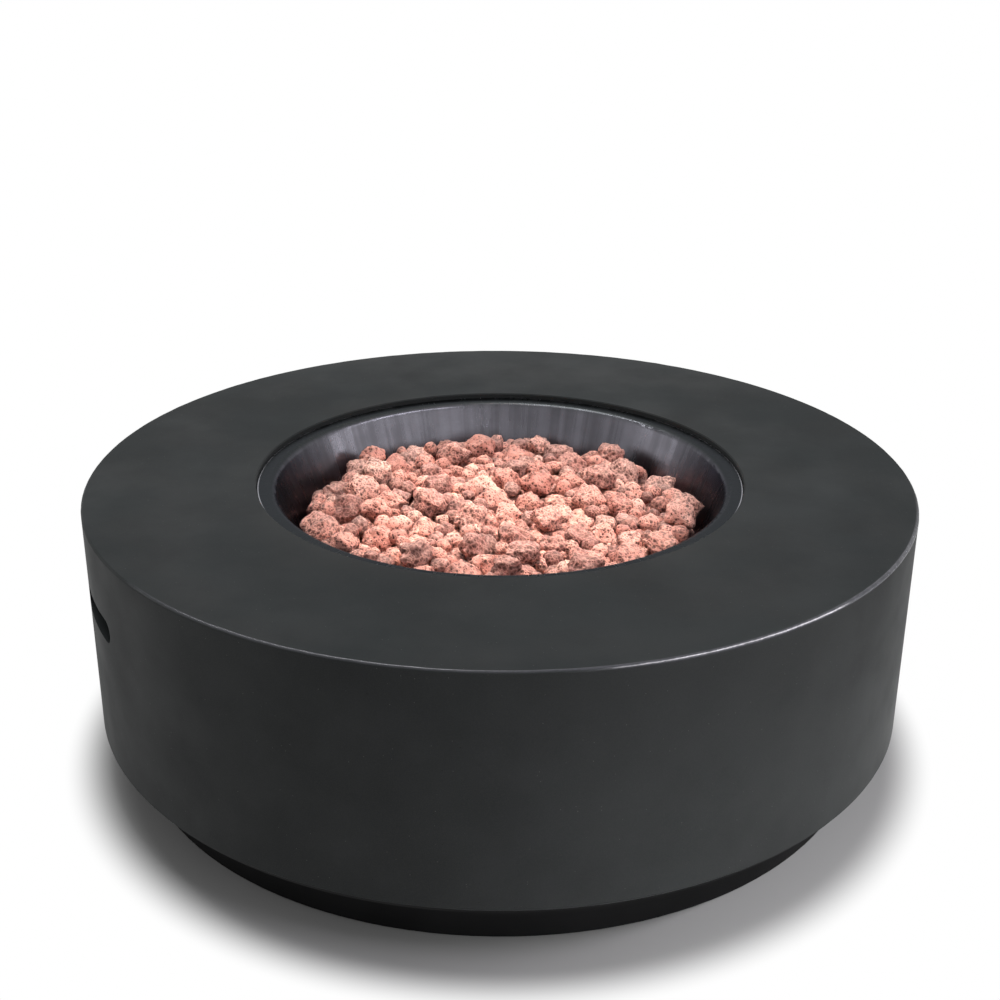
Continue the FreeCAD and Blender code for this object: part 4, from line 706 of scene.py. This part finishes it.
braid, tree, where = new_finish("steel_braid")
strands = []
for way in ((1.0, 1.0, 1.0), (1.0, -1.0, 1.0), (-1.0, 1.0, 1.0)):
    along = place(tree, "VectorMath", {0: where, 1: way}, operation="DOT_PRODUCT").outputs["Value"]
    strands.append(calc(tree, "SINE", calc(tree, "MULTIPLY", along, strand_turns)))
crossing = calc(tree, "ADD", calc(tree, "MAXIMUM", strands[0], strands[1]), strands[2])
weave = calc(tree, "MULTIPLY", crossing, 0.5)
coated(tree, {
    "Base Color": mix(tree, ease(tree, weave, -0.5, 0.8), braid_shadow, braid_steel),
    "Metallic": 1.0,
    "Roughness": 0.36,
    "Normal": bumped(tree, weave, 0.8, 0.0005)})
relaid("burner_hose", "braided_hose", "table", "rubber", braid)
dress(brass, "hose_nuts")


# Supply tube. Annealed copper tube, bent by hand. It carries the gas from the inlet fitting to
# the valve.
dress(copper, "supply_tube")


# Leads. A silicone-sleeved high-tension wire runs from the igniter to the electrode, and the
# sensor's thin copper capillary runs back to the valve.
silicone = moulded("silicone_sleeve", (0.020, 0.018, 0.017, 1), (0.034, 0.031, 0.030, 1),
                   roughness=0.5, scale=900.0, depth=0.0002)
relaid("ignition_wire", "spark_wire", "table", "rubber", silicone)
relaid("sensor_lead", "sensor_capillary", "table", "copper_lead", copper)


# Lava rock. Tumbled red-brown volcanic rock full of gas bubbles, heaped loose in the bowl until
# it hides the burner. Small broken bits have settled in the gaps between the lumps.
bowl_depth = 0.098
bowl_floor = bowl_high.z - bowl_depth
floor_radius = 0.256
rock_seed = 5
fullness = 1.11
roundness = 0.36
swell_grain = 1.3
pit_grain = 8.0
rock_seam = 1e-5
lump_cuts = 7
lump_swell = 0.0056
lump_pits = 0.0030
bits_tried = 9000
bit_sizes = (0.0085, 0.0135)
bit_widths = (0.85, 1.15)
bit_heights = (0.8, 1.05)
bit_core = 0.93
bit_swell = 0.0028
bit_pits = 0.0016
bits_highest = bowl_high.z - 0.042
floor_share = 0.8
passing_share = 0.45
resting_share = 0.75
apart_share = 0.68
crust_dark = (0.46, 0.200, 0.160, 1)
crust_light = (0.74, 0.370, 0.300, 1)
crust_pale = (0.88, 0.58, 0.49, 1)
spongy_brown = (0.34, 0.19, 0.17, 1)
pore_shade_brown = (0.080, 0.032, 0.028, 1)
chalk = (0.80, 0.58, 0.50, 1)


def lumps_of(mesh):
    """The separate lumps of a mesh, each as a list of its points, always in the same order."""
    left = set(mesh.verts)
    lumps = []
    for start in mesh.verts:
        if start not in left:
            continue
        left.discard(start)
        lump = [start]
        for point in lump:
            for edge in point.link_edges:
                other = edge.other_vert(point)
                if other in left:
                    left.discard(other)
                    lump.append(other)
        lumps.append(lump)
    return lumps


def weathered(points, centre, reach, shift, swell, pits):
    """Swell a lump unevenly about its centre and pit its surface."""
    for point in points:
        out = point.co - centre
        way = out.normalized()
        far = (out.length + (reach - out.length) * roundness) * fullness
        bulge = noise.fractal(way * swell_grain + shift, 1.0, 2.0, 2) * swell
        pit = max(0.0, noise.fractal(way * pit_grain + shift, 0.6, 2.1, 2)) * pits
        point.co = centre + way * (far + bulge - pit)


places = []
heaps = []
chance = random.Random(rock_seed)
for node, label in (("lava_rocks_lower", "lower_rocks"), ("lava_rocks_upper", "upper_rocks")):
    heap = bmesh.new()
    heap.from_mesh(nodes[node].data)
    tint = heap.verts.layers.float.new("tint")
    bmesh.ops.remove_doubles(heap, verts=heap.verts, dist=rock_seam)
    bmesh.ops.subdivide_edges(heap, edges=heap.edges, cuts=lump_cuts, use_grid_fill=True)
    for number, lump in enumerate(lumps_of(heap)):
        centre = sum((point.co for point in lump), Vector()) / len(lump)
        reach = sum((point.co - centre).length for point in lump) / len(lump)
        places.append((centre, reach))
        tone = chance.random()
        own_noise = Vector((number * 3.7, number * 1.3, len(places)))
        weathered(lump, centre, reach, own_noise, lump_swell, lump_pits)
        for point in lump:
            point[tint] = tone
    heaps.append((heap, label, node))

bits = bmesh.new()
tint = bits.verts.layers.float.new("tint")
settled = []
for _ in range(bits_tried):
    size = chance.uniform(*bit_sizes)
    out = (floor_radius - size) * math.sqrt(chance.random())
    turn = chance.uniform(0, math.tau)
    spot = Vector((out * math.cos(turn), out * math.sin(turn), bowl_floor + size * floor_share))
    for centre, reach in places:
        aside = math.hypot(centre.x - spot.x, centre.y - spot.y)
        if aside < reach + size * passing_share:
            over = math.sqrt(max(0.0, (reach + size * resting_share) ** 2 - aside ** 2))
            spot.z = max(spot.z, centre.z + over)
    if spot.z > bits_highest:
        continue
    if any((spot - other).length < (size + other_size) * apart_share for other, other_size in settled):
        continue
    settled.append((spot, size))
    there = Matrix.Translation(spot)
    bit = bmesh.ops.create_icosphere(bits, subdivisions=2, radius=size, matrix=there)["verts"]
    squash = Vector([chance.uniform(*span) for span in (bit_widths, bit_widths, bit_heights)])
    for point in bit:
        point.co = spot + (point.co - spot) * squash
    tone = chance.random()
    own_noise = Vector((len(settled) * 2.9, 7.1, 0.4))
    weathered(bit, spot, size * bit_core, own_noise, bit_swell, bit_pits)
    for point in bit:
        point[tint] = tone
heaps.append((bits, "rock_bits", None))

lava, tree, where = new_finish("lava_rock")
tone = place(tree, "Attribute", attribute_name="tint").outputs["Fac"]
patch = clouds(tree, where, 55, 5, 0.6)
blend = calc(tree, "ADD", calc(tree, "MULTIPLY", tone, 0.62), calc(tree, "MULTIPLY", patch, 0.5))
crust = mix(tree, ease(tree, blend, 0.22, 0.62), crust_dark, crust_light)
crust = mix(tree, ease(tree, blend, 0.60, 0.95), crust, crust_pale)
open_grain = ease(tree, calc(tree, "FRACT", calc(tree, "MULTIPLY", tone, 7.0)), 0.1, 0.9, 0.85, 1.55)
spongy = ease(tree, open_grain, 1.25, 1.50)
crust = mix(tree, calc(tree, "MULTIPLY", spongy, 0.55), crust, spongy_brown)
warp = place(tree, "TexNoise", {"Vector": where, "Scale": 190.0, "Detail": 2.0}).outputs["Color"]
shifted = {0: warp, 1: (0.004, 0.004, 0.004), 2: where}
bent = place(tree, "VectorMath", shifted, operation="MULTIPLY_ADD").outputs[0]
small = place(tree, "TexVoronoi", {"Vector": bent, "Scale": 330.0}).outputs["Distance"]
large = place(tree, "TexVoronoi", {"Vector": bent, "Scale": 165.0}).outputs["Distance"]
small_pore = ease(tree, small, 0.22, calc(tree, "MULTIPLY", open_grain, 0.52), 1.0, 0.0)
large_pore = ease(tree, large, 0.14, calc(tree, "MULTIPLY", open_grain, 0.48), 1.0, 0.0)
pores = calc(tree, "MAXIMUM", calc(tree, "MULTIPLY", small_pore, 0.7), large_pore)
# The pores are darkened with painted shade, as well as sunk by the bump.
crust = mix(tree, calc(tree, "MULTIPLY", pores, 0.90), crust, pore_shade_brown)
chalky = place(tree, "Group", {"Patches": 120.0, "Amount": 0.28}, node_tree=dust).outputs["Mask"]
crust = mix(tree, chalky, crust, chalk)
grain = clouds(tree, where, 1100, 3, 0.6)
relief = calc(tree, "SUBTRACT", calc(tree, "MULTIPLY", grain, 0.3), pores)
coated(tree, {
    "Base Color": crust,
    "Roughness": 0.93,
    "Specular IOR Level": 0.2,
    "Normal": bumped(tree, relief, 0.9, 0.0014)})

for heap, label, node in heaps:
    pile = made_object(heap, label)
    smooth(pile, degrees=80)
    fitted(pile, "table", "lava_rock", lava, *([node] if node else []))


# Studio. White paper that fades into a white backdrop, with a painted shadow round the drum, long
# lamps for the bright lines on the rim and in the bowl, broad ones for the wall and the deck, and a
# small warm one over the rock. The camera looks down on the front and is turned a third of a degree.
paper_radius = 40
shadow_oval_stretch = 1.03
painted_shadow_start = 0.536
painted_shadow_end = 0.608
paper_bounce = (0.90, 0.90, 0.90, 1)
paper_seen_shaded = (0.385, 0.385, 0.385, 1)
backdrop_strength = 0.31


def straight_rays(tree):
    """1 for what the camera sees, also in metal and through glass, and 0 for other light."""
    path = place(tree, "LightPath").outputs
    seen = calc(tree, "ADD", path["Is Camera Ray"], path["Is Glossy Ray"])
    return calc(tree, "ADD", seen, path["Is Transmission Ray"], clamp=True)


ground = bmesh.new()
bmesh.ops.create_circle(ground, cap_ends=True, radius=paper_radius, segments=64)
floor = made_object(ground, "floor")
paper, tree, where = new_finish("white_paper")
oval = place(tree, "VectorMath", {0: where, 1: (shadow_oval_stretch, 1, 1)}, operation="MULTIPLY").outputs[0]
away = place(tree, "VectorMath", {0: oval}, operation="LENGTH").outputs["Value"]
seen = straight_rays(tree)
# Painted shadow round the drum: the camera sees the paper darker near the plinth, and over an oval ring
# it eases into glowing white.
matt = place(tree, "BsdfDiffuse", {"Color": mix(tree, seen, paper_bounce, paper_seen_shaded)}).outputs[0]
glow = place(tree, "Emission", {"Color": (1, 1, 1, 1), "Strength": 1.0}).outputs[0]
share = calc(tree, "MULTIPLY", seen, ease(tree, away, painted_shadow_start, painted_shadow_end))
both = place(tree, "MixShader", {0: share, 1: matt, 2: glow}).outputs[0]
place(tree, "OutputMaterial", {"Surface": both})
floor.data.materials.append(paper)

world = bpy.data.worlds.new("studio")
bpy.context.scene.world = world
world.use_nodes = True
tree = world.node_tree
tree.nodes.clear()
seen = straight_rays(tree)
soft = place(tree, "Background", {"Color": (1, 1, 1, 1), "Strength": backdrop_strength}).outputs[0]
white = place(tree, "Background", {"Color": (1, 1, 1, 1), "Strength": 1.0}).outputs[0]
both = place(tree, "MixShader", {0: seen, 1: soft, 2: white}).outputs[0]
place(tree, "OutputWorld", {"Surface": both})


def lamp(label, stand, aim, width, height, power, along=None, colour=(1, 1, 1), spread=180):
    """A soft rectangular lamp, its width laid along a direction if one is given."""
    data = bpy.data.lights.new(label, "AREA")
    data.shape = "RECTANGLE"
    data.size = width
    data.size_y = height
    data.energy = power
    data.color = colour
    data.spread = math.radians(spread)
    made = bpy.data.objects.new(label, data)
    back = (Vector(stand) - Vector(aim)).normalized()
    side = Vector(along or (-back.y, back.x, 0)).normalized()
    side = (side - back * side.dot(back)).normalized()
    turn = Matrix((side, back.cross(side), back)).transposed().to_4x4()
    made.matrix_world = Matrix.Translation(stand) @ turn
    bpy.context.collection.objects.link(made)


lamp("right_lamp", stand=(3.10, -1.15, 3.25), aim=(0.25, -0.45, 0.366), width=4.6, height=0.30,
     power=86, along=(0.43, 0.62, -0.36), colour=(0.97, 0.94, 1.0))
lamp("left_lamp", stand=(-3.6, 0.6, 1.5), aim=(0, 0, 0.3), width=1.6, height=1.0, power=14)
lamp("front_lamp", stand=(2.75, -2.90, 1.42), aim=(0, 0, 0.33), width=4.8, height=0.70, power=17)
lamp("low_lamp", stand=(0.75, -3.95, 0.90), aim=(0.42, -0.45, 0.0), width=0.60, height=0.30,
     power=1.5, spread=16)
lamp("strip_lamp", stand=(-1.11, 0.66, 2.84), aim=(-0.25, -0.45, 0.366), width=2.0, height=0.08,
     power=17, along=(0.81, -0.42, 0.41))
lamp("side_lamp", stand=(3.60, 0.0, 0.95), aim=(-0.22, 0.17, 0.32), width=1.6, height=0.35, power=9)
lamp("high_lamp", stand=(-0.8, 0.5, 3.8), aim=(0, 0, 0.3), width=1.5, height=1.5, power=32)
lamp("fire_lamp", stand=(0, -0.02, 1.45), aim=(0, -0.02, 0.3), width=0.42, height=0.42, power=1.0,
     along=(1, 0, 0), colour=(1.0, 0.74, 0.64), spread=14)

camera_pitch = Matrix.Rotation(math.radians(67.12), 3, "X")
camera_roll = Matrix.Rotation(math.radians(0.35), 3, "Z")
camera_data = bpy.data.cameras.new("camera")
camera_data.sensor_width = 36
camera_data.lens = 55.61
camera = bpy.data.objects.new("camera", camera_data)
camera.location = (0, -1.8788, 1.119)
camera.rotation_euler = (camera_pitch @ camera_roll).to_euler()
bpy.context.collection.objects.link(camera)
bpy.context.scene.camera = camera
bpy.context.scene.view_settings.view_transform = "Standard"
